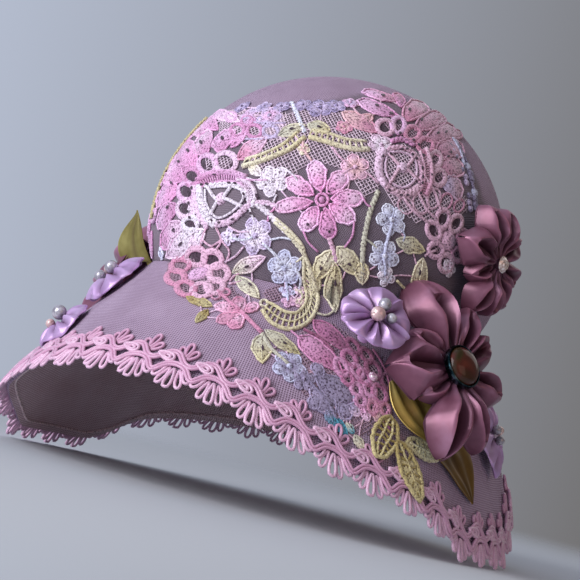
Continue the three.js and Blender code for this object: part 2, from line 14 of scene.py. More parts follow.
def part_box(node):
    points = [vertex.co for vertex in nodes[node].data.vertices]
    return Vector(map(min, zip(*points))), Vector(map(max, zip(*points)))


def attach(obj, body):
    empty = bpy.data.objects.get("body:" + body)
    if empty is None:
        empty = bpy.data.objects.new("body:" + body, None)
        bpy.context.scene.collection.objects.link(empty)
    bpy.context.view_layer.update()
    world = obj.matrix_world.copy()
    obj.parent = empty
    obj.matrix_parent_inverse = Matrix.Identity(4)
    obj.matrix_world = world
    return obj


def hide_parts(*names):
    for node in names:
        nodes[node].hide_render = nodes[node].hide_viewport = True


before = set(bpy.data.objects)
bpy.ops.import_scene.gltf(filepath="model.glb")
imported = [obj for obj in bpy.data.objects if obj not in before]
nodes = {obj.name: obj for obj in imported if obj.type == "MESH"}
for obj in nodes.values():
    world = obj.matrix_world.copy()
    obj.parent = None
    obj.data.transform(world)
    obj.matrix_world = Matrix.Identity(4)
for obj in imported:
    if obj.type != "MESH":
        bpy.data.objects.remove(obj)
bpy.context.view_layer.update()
bpy.ops.object.select_all(action="DESELECT")

# %% [markdown]
# The hat's outside is one smooth surface. Any spot on it is named by two numbers, as on a globe: the
# angle round the hat from the front toward the wearer's left, and the distance down from the top.
# Lace, braid and flowers are all laid on that chart, so they follow the straw from every side.
# The sizes are the solids' own, in millimetres.

# %% Sizes of the straw
MM = 0.001
STRAW = 1.8
HEAD_LINE = {"x": 86.0, "y": 96.0, "z": 112.0}
WIDEST = {"x": 94.5, "y": 101.5, "z": 139.0}
CROWN_TOP = 236.0
CROWN_ROUNDNESS = 2.08
CROWN_LEAN = {"x": 2.6, "y": 1.5}
RIM = {"x": -5.9, "y": -3.4, "radius": 146.0, "back_shorter": 8.0, "full_angle": -25.0}
BRIM_BOW = 3.0
LOOP_DROP = 9.5
RIM_ANGLES = (0, 10, 20, 30, 45, 60, 71, 79, 101, 108, 114, 120, 135, 150, 180)
RIM_HEIGHTS = (48, 47, 43.5, 37, 25, 17.5, 8.5, 0, 0, 5, 14, 21, 28, 31, 33)

top_corner = max((v.co for v in nodes["crown"].data.vertices), key=lambda co: co.z)
SHIFT = np.array([top_corner.x / MM - CROWN_LEAN["x"], top_corner.y / MM - CROWN_LEAN["y"], 0.0])
print("crown axis stands at", SHIFT.round(2), "mm")


# %% The chart of the hat
def unit(ways):
    """Ways of length 1."""
    return ways / np.maximum(np.linalg.norm(ways, axis=-1, keepdims=True), 1e-9)


def lengths_along(line):
    """The distance along a line to each of its points."""
    return np.concatenate([[0.0], np.cumsum(np.linalg.norm(np.diff(line, axis=0), axis=1))])


def smooth_table(keys, values, at):
    """A smooth curve through a table that keeps its flat stretches flat."""
    keys, values = np.asarray(keys, float), np.asarray(values, float)
    rise = np.diff(values) / np.diff(keys)
    before, after = rise[:-1], rise[1:]
    same = before * after > 0
    total = np.where(same, before + after, 1.0)
    slope = np.concatenate([[0.0], np.where(same, 2 * before * after / total, 0.0), [0.0]])
    i = np.clip(np.searchsorted(keys, at, side="right") - 1, 0, len(keys) - 2)
    span = keys[i + 1] - keys[i]
    t = (at - keys[i]) / span
    bend = span * ((1 - t) ** 2 * t * slope[i] - (1 - t) * t ** 2 * slope[i + 1])
    return values[i] + (values[i + 1] - values[i]) * t * t * (3 - 2 * t) + bend


def crown_points(angle, step):
    """The crown's outside; step is 0 at the top, 1 at the widest ring, 2 at the head line."""
    turn = np.clip(step, 0, 1) * math.pi / 2
    low = np.clip(step - 1, 0, 1)
    wide = np.clip(np.sin(turn), 0, 1) ** (2 / CROWN_ROUNDNESS)
    high = np.clip(np.cos(turn), 0, 1) ** (2 / CROWN_ROUNDNESS) * (step < 1)
    x = WIDEST["x"] * wide + (HEAD_LINE["x"] - WIDEST["x"]) * low ** 2
    y = WIDEST["y"] * wide + (HEAD_LINE["y"] - WIDEST["y"]) * low ** 2
    z = WIDEST["z"] + (CROWN_TOP - WIDEST["z"]) * high + (HEAD_LINE["z"] - WIDEST["z"]) * low
    lean = (z - HEAD_LINE["z"]) / (CROWN_TOP - HEAD_LINE["z"])
    a = np.radians(angle)
    return np.stack([x * np.sin(a) + CROWN_LEAN["x"] * lean, -y * np.cos(a) + CROWN_LEAN["y"] * lean, z], -1)


def brim_points(angle, along):
    """The brim's outside; along is 0 at the head line and 1 at the tips of the braid's loops."""
    a = np.radians(angle)
    radius = RIM["radius"] - RIM["back_shorter"] * np.clip(-np.cos(a - math.radians(RIM["full_angle"])), 0, 1)
    height = smooth_table(RIM_ANGLES, RIM_HEIGHTS, np.abs((angle + 180) % 360 - 180))
    start = np.stack([HEAD_LINE["x"] * np.sin(a), -HEAD_LINE["y"] * np.cos(a), HEAD_LINE["z"] + 0 * a], -1)
    end = np.stack([RIM["x"] + radius * np.sin(a), RIM["y"] - radius * np.cos(a), height], -1)
    run = end - start
    slope = unit(run)
    out = np.stack([np.sin(a), -np.cos(a), 0 * a], -1)
    out = unit(out - slope * (out * slope).sum(-1, keepdims=True))
    return start + run * along[..., None] + out * (BRIM_BOW * 4 * along * (1 - along))[..., None]


CHART_ANGLES = np.arange(-180.0, 181.0)
CHART_DOWN = np.arange(0.0, 331.0)
DOME_STEPS, SIDE_STEPS, BRIM_STEPS, PAST_TIPS = 60, 14, 40, 4
POLE_RADIUS = 12.0
crown_steps = np.concatenate([np.arange(DOME_STEPS) / DOME_STEPS, 1 + np.arange(SIDE_STEPS) / SIDE_STEPS])
brim_steps = np.arange(BRIM_STEPS + PAST_TIPS) / BRIM_STEPS
chart = np.zeros((len(CHART_ANGLES), len(CHART_DOWN), 3))
head_down, tip_down = np.zeros((2, len(CHART_ANGLES)))
for row, angle in enumerate(CHART_ANGLES):
    line = np.concatenate([crown_points(angle + 0 * crown_steps, crown_steps),
                           brim_points(angle + 0 * brim_steps, brim_steps)])
    length = lengths_along(line)
    head_down[row], tip_down[row] = length[len(crown_steps)], length[len(crown_steps) + BRIM_STEPS]
    for axis in range(3):
        chart[row, :, axis] = np.interp(CHART_DOWN, length, line[:, axis])
print("down to the head line", head_down.min().round(1), "to", head_down.max().round(1), "mm")


def chart_read(table, angle, down):
    """Reads a table of the chart between its rows and columns."""
    a, d = np.broadcast_arrays((np.asarray(angle, float) + 180) % 360,
                               np.clip(np.asarray(down, float), 0, CHART_DOWN[-1] - 0.001))
    i, j = np.minimum(a.astype(int), len(CHART_ANGLES) - 2), d.astype(int)
    u, v = (a - i)[..., None], (d - j)[..., None]
    return (table[i, j] * (1 - u) * (1 - v) + table[i + 1, j] * u * (1 - v)
            + table[i, j + 1] * (1 - u) * v + table[i + 1, j + 1] * u * v)


def hat_frame(angle, down, reach=4.0):
    """The ways east, south and out of the hat's surface, taken over a reach of its slope."""
    angle, down = np.broadcast_arrays(np.asarray(angle, float), np.asarray(down, float))
    south = unit(chart_read(chart, angle, down + reach) - chart_read(chart, angle, down - reach))
    east = chart_read(chart, angle + 2, down) - chart_read(chart, angle - 2, down)
    out = np.cross(south, east)
    size = np.linalg.norm(out, axis=-1, keepdims=True)
    out = np.where(size > 1e-6, out / np.maximum(size, 1e-6), np.array([0.0, 0.0, 1.0]))
    return np.cross(out, south), south, out


out_chart = hat_frame(CHART_ANGLES[:, None], CHART_DOWN[None, :])[2]
out_chart[:, :2] = (0.0, 0.0, 1.0)


def on_hat(angle, down, lift=0.0):
    """Points a lift above the straw, in millimetres round the crown's axis."""
    lift = np.asarray(lift, float)
    return chart_read(chart, angle, down) + chart_read(out_chart, angle, down) * lift[..., None]


def hat_end(angle):
    """The distance down to the tips of the braid's loops."""
    return np.interp((np.asarray(angle, float) + 180) % 360 - 180, CHART_ANGLES, tip_down)


def hat_head(angle):
    """The distance down to the head line, where crown and brim meet."""
    return np.interp((np.asarray(angle, float) + 180) % 360 - 180, CHART_ANGLES, head_down)


def beside(angle, down, east, south):
    """The chart place a few millimetres east and south of another."""
    down = np.asarray(down, float) + south
    spot = chart_read(chart, angle, down)
    radius = np.maximum(np.hypot(spot[..., 0], spot[..., 1]), POLE_RADIUS)
    return angle + np.degrees(np.asarray(east, float) / radius), down


# %% [markdown]
# The camera stands where the photograph was taken: a little to the wearer's left, just above the floor,
# with the hat leaning in the frame. It comes first, because the lace is then laid out by where
# each of its flowers shows in that picture.

# %% The camera
PICTURE = 580
VIEW = {"azimuth": 30.0, "distance": 1100.0, "height": 46.0, "aim": 116.5, "aside": -13.7, "lean": 14.4}
PIXEL = 0.543
SENSOR = 36.0

azimuth, lean = math.radians(VIEW["azimuth"]), math.radians(VIEW["lean"])
level = np.array([math.cos(azimuth), math.sin(azimuth), 0.0])
target = np.array([0.0, 0.0, VIEW["aim"]]) + level * VIEW["aside"]
rise = VIEW["height"] - VIEW["aim"]
reach = math.sqrt(VIEW["distance"] ** 2 - rise ** 2)
eye = target + np.array([math.sin(azimuth) * reach, -math.cos(azimuth) * reach, rise])
back = (eye - target) / np.linalg.norm(eye - target)
upright = np.cross(back, level)
across = level * math.cos(lean) + upright * math.sin(lean)
upward = -level * math.sin(lean) + upright * math.cos(lean)

camera = bpy.data.objects.new("camera", bpy.data.cameras.new("camera"))
bpy.context.scene.collection.objects.link(camera)
focal = VIEW["distance"] / PIXEL
camera.data.sensor_width = SENSOR
camera.data.lens = focal * SENSOR / PICTURE
camera.data.clip_start, camera.data.clip_end = 0.01, 100.0
place = Matrix.Identity(4)
for axis, way in enumerate((across, upward, back)):
    place.col[axis][:3] = way
place.col[3][:3] = (eye + SHIFT) * MM
camera.matrix_world = place
bpy.context.scene.camera = camera
print("camera at", [round(v, 3) for v in place.translation], "lens", round(camera.data.lens, 1), "mm")


def picture_of(points):
    """Where points show in the picture, and how far off they are."""
    away = points - eye
    depth = -(away @ back)
    return PICTURE / 2 + focal * (away @ across) / depth, PICTURE / 2 - focal * (away @ upward) / depth, depth


NEVER_SEEN, NEAR_PIXELS, SMALL_STEP, LARGEST_STEP = -9999.0, 2.5, 0.5, 3
seen_x, seen_y, seen_depth = picture_of(chart)
faces_camera = ((eye - chart) * out_chart).sum(-1) > 0
seen_x[~faces_camera] = NEVER_SEEN
print(int(faces_camera.sum()), "places of the chart face the camera")


def spot(x, y):
    """The chart place that shows at a pixel of the picture."""
    miss = np.hypot(seen_x - x, seen_y - y)
    near = miss < miss.min() + NEAR_PIXELS
    row, column = np.unravel_index(np.argmin(np.where(near, seen_depth + 2 * miss, 1e9)), miss.shape)
    angle, down = CHART_ANGLES[row], CHART_DOWN[column]
    for _ in range(3):
        trio = on_hat(np.array([angle, angle + SMALL_STEP, angle]), np.array([down, down, down + SMALL_STEP]))
        px, py, _depth = picture_of(trio)
        turn = np.array([[px[1] - px[0], px[2] - px[0]], [py[1] - py[0], py[2] - py[0]]]) / SMALL_STEP
        if abs(np.linalg.det(turn)) < 1e-3:
            break
        step = np.clip(np.linalg.solve(turn, np.array([x - px[0], y - py[0]])), -LARGEST_STEP, LARGEST_STEP)
        angle, down = angle + step[0], down + step[1]
    return angle, down


def spots(pixels):
    """The chart places of several pixels, as angles and distances down."""
    found = np.array([spot(x, y) for x, y in pixels])
    return found[:, 0], found[:, 1]


# %% [markdown]
# A finish is a small tree of nodes. The same few moves come back in each: set or link a socket, lay a pattern
# on the piece's own coordinates, turn it into tones by a ramp, lay one tone over another, and raise the
# surface by the pattern's height. Each move is a helper here.


# %% Helpers for finishes
def tone_of(red, green, blue):
    """A tone given in 0 to 255, as the linear values that shaders take."""
    parts = np.array([red, green, blue]) / 255
    linear = np.where(parts <= 0.04045, parts / 12.92, ((parts + 0.055) / 1.055) ** 2.4)
    return tuple(float(v) for v in linear)


def feed(tree, value, socket):
    """Links an output to an input socket, or sets the socket to a value."""
    if isinstance(value, bpy.types.NodeSocket):
        tree.links.new(value, socket)
    else:
        socket.default_value = value


def node_of(tree, kind, **sockets):
    """A new shader node with its input sockets set or linked."""
    made = tree.nodes.new("ShaderNode" + kind)
    for name, value in sockets.items():
        feed(tree, value, made.inputs[name.replace("_", " ")])
    return made


def plain_shader(name, **sockets):
    """A material with one Principled shader and its sockets set."""
    material = bpy.data.materials.new(name)
    material.use_nodes = True
    shader = material.node_tree.nodes["Principled BSDF"]
    for socket, value in sockets.items():
        shader.inputs[socket.replace("_", " ")].default_value = value
    return material, material.node_tree, shader


def on_object(tree, kind, **sockets):
    """A node that reads the piece's own coordinates."""
    place = tree.nodes.new("ShaderNodeTexCoord")
    return node_of(tree, kind, Vector=place.outputs["Object"], **sockets)


def noise_of(tree, scale, detail, **sockets):
    """Noise on the piece's own coordinates."""
    return on_object(tree, "TexNoise", Scale=scale, Detail=detail, **sockets).outputs["Fac"]


def attribute_of(tree, name):
    """What is kept at the piece's corners under a name."""
    made = tree.nodes.new("ShaderNodeAttribute")
    made.attribute_name = name
    return made.outputs


def math_of(tree, operation, *values):
    """A sum or product of outputs and numbers."""
    made = tree.nodes.new("ShaderNodeMath")
    made.operation = operation
    for socket, value in zip(made.inputs, values):
        feed(tree, value, socket)
    return made.outputs[0]


def ramp_of(tree, source, stops):
    """A colour ramp with these stops on a source."""
    ramp = tree.nodes.new("ShaderNodeValToRGB")
    while len(ramp.color_ramp.elements) < len(stops):
        ramp.color_ramp.elements.new(0.5)
    for element, (position, tone) in zip(ramp.color_ramp.elements, stops):
        element.position, element.color = position, (*tone, 1.0)
    feed(tree, source, ramp.inputs["Fac"])
    return ramp.outputs["Color"]


def mixed(tree, share, under, over, blend="MULTIPLY"):
    """One tone laid over another."""
    made = tree.nodes.new("ShaderNodeMix")
    made.data_type, made.blend_type = "RGBA", blend
    for socket, value in (("Factor", share), ("A", under), ("B", over)):
        feed(tree, value, made.inputs[socket])
    return made.outputs["Result"]


def dress(tree, shader, tone, height=None, **bump):
    """Gives a shader its tone and, where asked, the bump of a pattern's height."""
    feed(tree, tone, shader.inputs["Base Color"])
    if height is not None:
        feed(tree, node_of(tree, "Bump", Height=height, **bump).outputs["Normal"], shader.inputs["Normal"])


print("helpers for finishes are ready")

# %% [markdown]
# The hat stands on a plain pale floor that fades out round it, under soft daylight. One wide light from the
# front left does the work of a window, a low one shows the inside of the brim, one behind parts the hat from
# the surround, and a faint warm one lifts the right, which is the dimmer side.

# %% The floor
FLOOR_TONE = (0.56, 0.59, 0.63, 1.0)
FLOOR_RADIUS, FLOOR_CLEAR, FLOOR_GONE = 14.0, 0.3, 1.1
bpy.ops.mesh.primitive_circle_add(vertices=96, radius=FLOOR_RADIUS, fill_type="NGON", location=(0, 0, 0))
floor = bpy.context.object
floor.name = "floor"
floor_material, tree, shader = plain_shader("pale_floor", Roughness=0.9)
dress(tree, shader, FLOOR_TONE, node_of(tree, "TexNoise", Scale=220.0).outputs["Fac"], Strength=0.04)
apart = on_object(tree, "VectorMath")
apart.operation = "LENGTH"
faded = node_of(tree, "MapRange", Value=apart.outputs["Value"], From_Min=FLOOR_CLEAR, From_Max=FLOOR_GONE)
faded.interpolation_type = "SMOOTHSTEP"
clear = tree.nodes.new("ShaderNodeBsdfTransparent")
blend = tree.nodes.new("ShaderNodeMixShader")
for socket, source in zip(blend.inputs, (faded.outputs["Result"], shader.outputs["BSDF"], clear.outputs["BSDF"])):
    feed(tree, source, socket)
feed(tree, blend.outputs["Shader"], tree.nodes["Material Output"].inputs["Surface"])
floor.data.materials.append(floor_material)
print("floor clear to", FLOOR_CLEAR, "m")

# %% The surround
WALL_LEFT, WALL_RIGHT = (0.48, 0.53, 0.65), (0.15, 0.142, 0.136)
WALL_BLEND = 0.2
surround = bpy.data.worlds.new("surround")
bpy.context.scene.world = surround
surround.use_nodes = True
sky = surround.node_tree
sideways = sky.nodes.new("ShaderNodeVectorMath")
sideways.operation = "DOT_PRODUCT"
feed(sky, sky.nodes.new("ShaderNodeTexCoord").outputs["Generated"], sideways.inputs[0])
feed(sky, tuple(float(v) for v in level), sideways.inputs[1])
spread = node_of(sky, "MapRange", Value=sideways.outputs["Value"], From_Min=-WALL_BLEND, From_Max=WALL_BLEND)
wall = ramp_of(sky, spread.outputs["Result"], [(0.0, WALL_LEFT), (1.0, WALL_RIGHT)])
feed(sky, wall, sky.nodes["Background"].inputs["Color"])
print("surround from", WALL_LEFT, "to", WALL_RIGHT)

# %% The lights
HAT_MIDDLE = (0.0, 0.0, 0.12)
LIGHT_COLUMNS = ("name", "place", "size", "power", "tone")
LIGHTS = [
    ("window", (-0.5, -1.45, 0.75), 1.2, 21.0, (0.98, 0.97, 1.0)),
    ("low", (-0.7, -1.5, 0.1), 0.7, 6.0, (0.97, 0.98, 1.0)),
    ("back", (0.2, 1.5, 1.3), 1.4, 3.4, (1.0, 0.96, 0.95)),
    ("room", (1.4, -0.5, 0.5), 0.9, 2.0, (1.0, 0.66, 0.52)),
]


def rows_of(columns, rows, **usual):
    """Rows of a table as values by column, with the usual value where a row ends early."""
    return [{**usual, **dict(zip(columns, row))} for row in rows]


for light in rows_of(LIGHT_COLUMNS, LIGHTS):
    lamp = bpy.data.lights.new(light["name"], "AREA")
    lamp.size, lamp.energy, lamp.color = light["size"], light["power"], light["tone"]
    holder = bpy.data.objects.new(light["name"], lamp)
    bpy.context.scene.collection.objects.link(holder)
    holder.location = light["place"]
    holder.rotation_euler = (Vector(light["place"]) - Vector(HAT_MIDDLE)).to_track_quat("Z", "Y").to_euler()
bpy.context.scene.view_settings.view_transform = "Standard"
print(len(LIGHTS), "soft lights")

# %% [markdown]
# The straw is a fine woven cloth, blocked to shape while damp: a plain weave of dusty mauve strands,
# paler where the light rakes over it, with a dull sheen. The strands are far too many to model, so two
# crossing waves make them as bump and as tone; the tone is painted light on the strands and painted
# shade, a dark point, in each gap of the weave. The waves run on a map that is laid over the crown like
# the cloth itself, so the weave has no seam and no pole.

# %% The straw's finish
WEAVE_PITCH = 1.2
WAVE_TURN = 20
TONE_SHARES = {"weave": 0.55, "cloud": 0.35, "slub": 0.25}


def straw_finish(name, shade, middle, lit, ground):
    """Woven straw on the piece's own cloth map, with painted shade in other tones on the ground under the lace."""
    material, tree, shader = plain_shader(
        name, Roughness=0.72, Sheen_Weight=0.25, Sheen_Roughness=0.4, Sheen_Tint=(*tone_of(225, 205, 220), 1.0),
        Specular_IOR_Level=0.3)
    cloth = tree.nodes.new("ShaderNodeUVMap")
    cloth.uv_map = "cloth"
    waves = []
    for way in ("X", "Y"):
        wave = node_of(tree, "TexWave", Vector=cloth.outputs["UV"], Distortion=1.2, Detail_Scale=0.6,
                       Scale=2 * math.pi / WEAVE_PITCH / WAVE_TURN / MM)
        wave.bands_direction = way
        waves.append(wave.outputs["Fac"])
    weave = math_of(tree, "SUBTRACT", math_of(tree, "ADD", *waves), math_of(tree, "MULTIPLY", *waves))
    slub = node_of(tree, "TexNoise", Vector=cloth.outputs["UV"], Scale=60.0, Detail=4.0, Roughness=0.6).outputs["Fac"]
    cloud = noise_of(tree, 14.0, 2.0)
    patchy = math_of(tree, "MULTIPLY_ADD", cloud, TONE_SHARES["cloud"],
                     math_of(tree, "MULTIPLY", slub, TONE_SHARES["slub"]))
    tone = math_of(tree, "MULTIPLY_ADD", weave, TONE_SHARES["weave"], patchy)
    # The weave's tone is painted light on the strands and painted shade in the gaps between them.
    plain = ramp_of(tree, tone, [(0.32, shade), (0.66, middle), (0.92, lit)])
    # Painted shade under the lace: darker, greyer tones with no weave in them.
    painted_lace_shade = ramp_of(tree, cloud, [(0.3, ground[0]), (0.7, ground[1])])
    dress(tree, shader, mixed(tree, attribute_of(tree, "lace_shade_mask")["Fac"], plain, painted_lace_shade, "MIX"),
          weave, Strength=0.85, Distance=0.0004)
    return material


# The tones of the painted shade on the straw under the lace.
LACE_SHADE_TONES = (tone_of(104, 92, 104), tone_of(128, 114, 126))
OUTSIDE = (tone_of(96, 76, 94), tone_of(150, 126, 150), tone_of(184, 162, 186))
# The straw's inside is painted much paler than its outside: painted light, standing in for the light that reaches the
# inside of the hat.
INSIDE_PAINTED_LIGHT = (tone_of(150, 106, 112), tone_of(204, 168, 174), tone_of(236, 220, 226))
straw_outside = straw_finish("straw_outside", *OUTSIDE, LACE_SHADE_TONES)
straw_inside_painted_light = straw_finish("straw_inside_painted_light", *INSIDE_PAINTED_LIGHT, INSIDE_PAINTED_LIGHT[:2])
print("straw finishes with a weave of", WEAVE_PITCH, "mm")

# %% [markdown]
# The same steps finish every piece: it is the only one selected when an operator acts on it, its corners are
# moved to their places on the chart, its modifiers are applied, and it is put on the hat in place of its solid.


# %% Helpers for pieces
def only(obj):
    """Selects one object and makes it the active one."""
    bpy.ops.object.select_all(action="DESELECT")
    obj.select_set(True)
    bpy.context.view_layer.objects.active = obj


def corners_raw(obj):
    """A mesh's corners as it was added, in metres."""
    flat = np.zeros(len(obj.data.vertices) * 3)
    obj.data.vertices.foreach_get("co", flat)
    return flat.reshape(-1, 3)


def move_corners(obj, places):
    """Puts a mesh's corners at places in millimetres round the crown's axis."""
    obj.data.vertices.foreach_set("co", ((places + SHIFT) * MM).ravel())
    obj.data.update()


def keep_at_corners(obj, name, values):
    """Keeps a number at each corner of a mesh, for its finish to read."""
    layer = obj.data.attributes.new(name, "FLOAT", "POINT")
    layer.data.foreach_set("value", values.astype(np.float32))


def cloth_map(obj, places, round_way=0.0):
    """Gives each corner its place on the flat cloth, in metres, as the UV map called cloth. Cloth that goes
    round the hat is joined to itself where it ends."""
    layer = obj.data.uv_layers.new(name="cloth")
    loops = np.zeros(len(obj.data.loops), dtype=int)
    obj.data.loops.foreach_get("vertex_index", loops)
    flat = places[loops]
    if round_way:
        sides = flat[:, 0].reshape(-1, 4)
        split = np.ptp(sides, axis=1) > round_way / 2
        sides[split] = np.where(sides[split] < 0, sides[split] + round_way, sides[split])
        flat[:, 0] = sides.ravel()
    layer.data.foreach_set("uv", (flat * MM).ravel())


def apply_modifier(obj, kind, **settings):
    """Adds a modifier, sets it and applies it."""
    only(obj)
    made = obj.modifiers.new(kind.lower(), kind)
    for key, value in settings.items():
        setattr(made, key, value)
    bpy.ops.object.modifier_apply(modifier=made.name)


def wear(obj, slot, *replaced):
    """Lets a finished piece ride on the hat and stand for its solids; its slot is not used."""
    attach(obj, "root")
    if replaced:
        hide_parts(*replaced)


STRAW_SMOOTH = math.radians(50)


def straw_wall(obj, node):
    """Gives a shell of straw its finishes and its wall, puts it on and says how fine it is."""
    obj.data.materials.append(straw_outside)
    obj.data.materials.append(straw_inside_painted_light)
    apply_modifier(obj, "SOLIDIFY", thickness=STRAW * MM, offset=-1, material_offset=1, use_rim=True)
    bpy.ops.object.shade_smooth_by_angle(angle=STRAW_SMOOTH)
    wear(obj, "straw", node)
    print(obj.name, "has", len(obj.data.polygons), "faces")


# %% [markdown]
# The crown starts as a ball. The lower half is cut away, the half ball is eased into the crown's blocked
# form by moving each corner to its place on the chart, and a wall of straw is put on its inside.

# %% The crown
START_SIZE = 0.1
HEAD_GAP = 0.15
CROWN_SIDES, CROWN_RINGS = 144, 96
bpy.ops.object.select_all(action="DESELECT")
bpy.ops.mesh.primitive_uv_sphere_add(segments=CROWN_SIDES, ring_count=CROWN_RINGS, radius=START_SIZE)
crown = bpy.context.object
crown.name = "straw_crown"
bpy.ops.object.mode_set(mode="EDIT")
bpy.ops.mesh.select_all(action="SELECT")
bpy.ops.mesh.bisect(plane_co=(0, 0, 0), plane_no=(0, 0, -1), clear_outer=True)
bpy.ops.object.mode_set(mode="OBJECT")
ball = corners_raw(crown)
turn = np.degrees(np.arctan2(ball[:, 0], -ball[:, 1]))
part_way = np.arccos(np.clip(ball[:, 2] / START_SIZE, -1, 1)) / (math.pi / 2)
crown_down = part_way * (hat_head(turn) - HEAD_GAP)
move_corners(crown, on_hat(turn, crown_down))
cloth_map(crown, np.stack([crown_down * np.sin(np.radians(turn)), -crown_down * np.cos(np.radians(turn))], -1))
LACE_TOP_ANGLES = (-64, -60, -51, -30, -22, -2, 9, 20, 37, 51, 77, 84, 89, 93)
LACE_TOP_DOWN = (200, 118, 108, 97, 93, 87, 77, 64, 40, 48, 60, 84, 110, 200)
NO_LACE, LACE_FADE = 400, 6
lace_top = np.interp(turn, LACE_TOP_ANGLES, LACE_TOP_DOWN, left=NO_LACE, right=NO_LACE)
# Where the lace lies, the crown is marked for the painted shade, fading in at the lace's top.
keep_at_corners(crown, "lace_shade_mask", np.clip((crown_down - lace_top) / LACE_FADE, 0, 1))
straw_wall(crown, "crown")

# %% [markdown]
# The brim starts as an open tube. It is cut into rings, drawn out to the bell form of the chart and
# given the same wall.


# %% The brim
def open_tube(sides, rings):
    """An open tube cut into rings, with its corners' angle and their place along it from 0 to 1."""
    bpy.ops.object.select_all(action="DESELECT")
    bpy.ops.mesh.primitive_cylinder_add(vertices=sides, radius=START_SIZE, depth=START_SIZE, end_fill_type="NOTHING")
    tube = bpy.context.object
    bpy.ops.object.mode_set(mode="EDIT")
    bpy.ops.mesh.select_mode(type="EDGE")
    bpy.ops.mesh.select_all(action="DESELECT")
    bpy.ops.object.mode_set(mode="OBJECT")
    for edge in tube.data.edges:
        low, high = (tube.data.vertices[i].co.z for i in edge.vertices)
        edge.select = abs(low - high) > START_SIZE / 2
    bpy.ops.object.mode_set(mode="EDIT")
    bpy.ops.mesh.subdivide(number_cuts=rings - 1)
    bpy.ops.object.mode_set(mode="OBJECT")
    places = corners_raw(tube)
    return tube, np.arctan2(places[:, 1], places[:, 0]), 0.5 - places[:, 2] / START_SIZE


BRIM_SIDES, BRIM_RINGS = 216, 40
CLOTH_ROUND = 628 * WEAVE_PITCH
brim, around, part_way = open_tube(BRIM_SIDES, BRIM_RINGS)
brim.name = "straw_brim"
turn = (np.degrees(around) + 270) % 360 - 180
first, last = hat_head(turn) + HEAD_GAP, hat_end(turn) - LOOP_DROP
brim_down = first + part_way * (last - first)
move_corners(brim, on_hat(turn, brim_down))
cloth_map(brim, np.stack([turn / 360 * CLOTH_ROUND, brim_down], -1), CLOTH_ROUND)
straw_wall(brim, "brim")


# %% [markdown]
# The lace is guipure: flowers, leaves and scrolls of dense cotton stitching, edged with a raised cord,
# held together by thin bars and, in places, by a fine net. It was tinted by hand, so each flower runs
# from one tone to another. Cutting that from a sheet would lose the raised cords, so every motif is
# sewn up from two simple bodies laid on the chart: a rope, and a padded petal with a corded edge.


# %% Helpers for thread work
def face_out(obj, merged=False, facets=False):
    """Turns a mesh's faces outward. Doubled corners are merged and faces cut into facets first, if asked."""
    only(obj)
    bpy.ops.object.mode_set(mode="EDIT")
    bpy.ops.mesh.select_all(action="SELECT")
    if merged:
        bpy.ops.mesh.remove_doubles(threshold=0.02 * MM)
    if facets:
        bpy.ops.mesh.quads_convert_to_tris()
    bpy.ops.mesh.normals_make_consistent(inside=False)
    bpy.ops.object.mode_set(mode="OBJECT")


def oval(wide, tall, turn=0.0, count=14):
    """Points round an oval that is turned by an angle."""
    around = 2 * math.pi * np.arange(count) / count
    u, v = wide / 2 * np.cos(around), tall / 2 * np.sin(around)
    c, s = math.cos(math.radians(turn)), math.sin(math.radians(turn))
    return u * c - v * s, u * s + v * c


def picture_oval(x, y, wide, tall, turn, count=14):
    """The chart places of an oval in the picture."""
    u, v = oval(wide, tall, turn, count)
    return spots(np.stack([x + u, y + v], -1))


def toward(tint, tip, share):
    """Tones from one tint to another, by a share at each point."""
    return np.asarray(tint) + (np.asarray(tip) - np.asarray(tint)) * share[:, None]


def lit(tone, light):
    """A tone made lighter or darker."""
    return np.clip(tone * light, 0, 1)


# %% Ropes and padded petals
# The shade seen down a hole in the lace, painted on flat dark pads.
HOLE_SHADE_TONE = tone_of(74, 56, 70)
PETAL_POINTS = 9


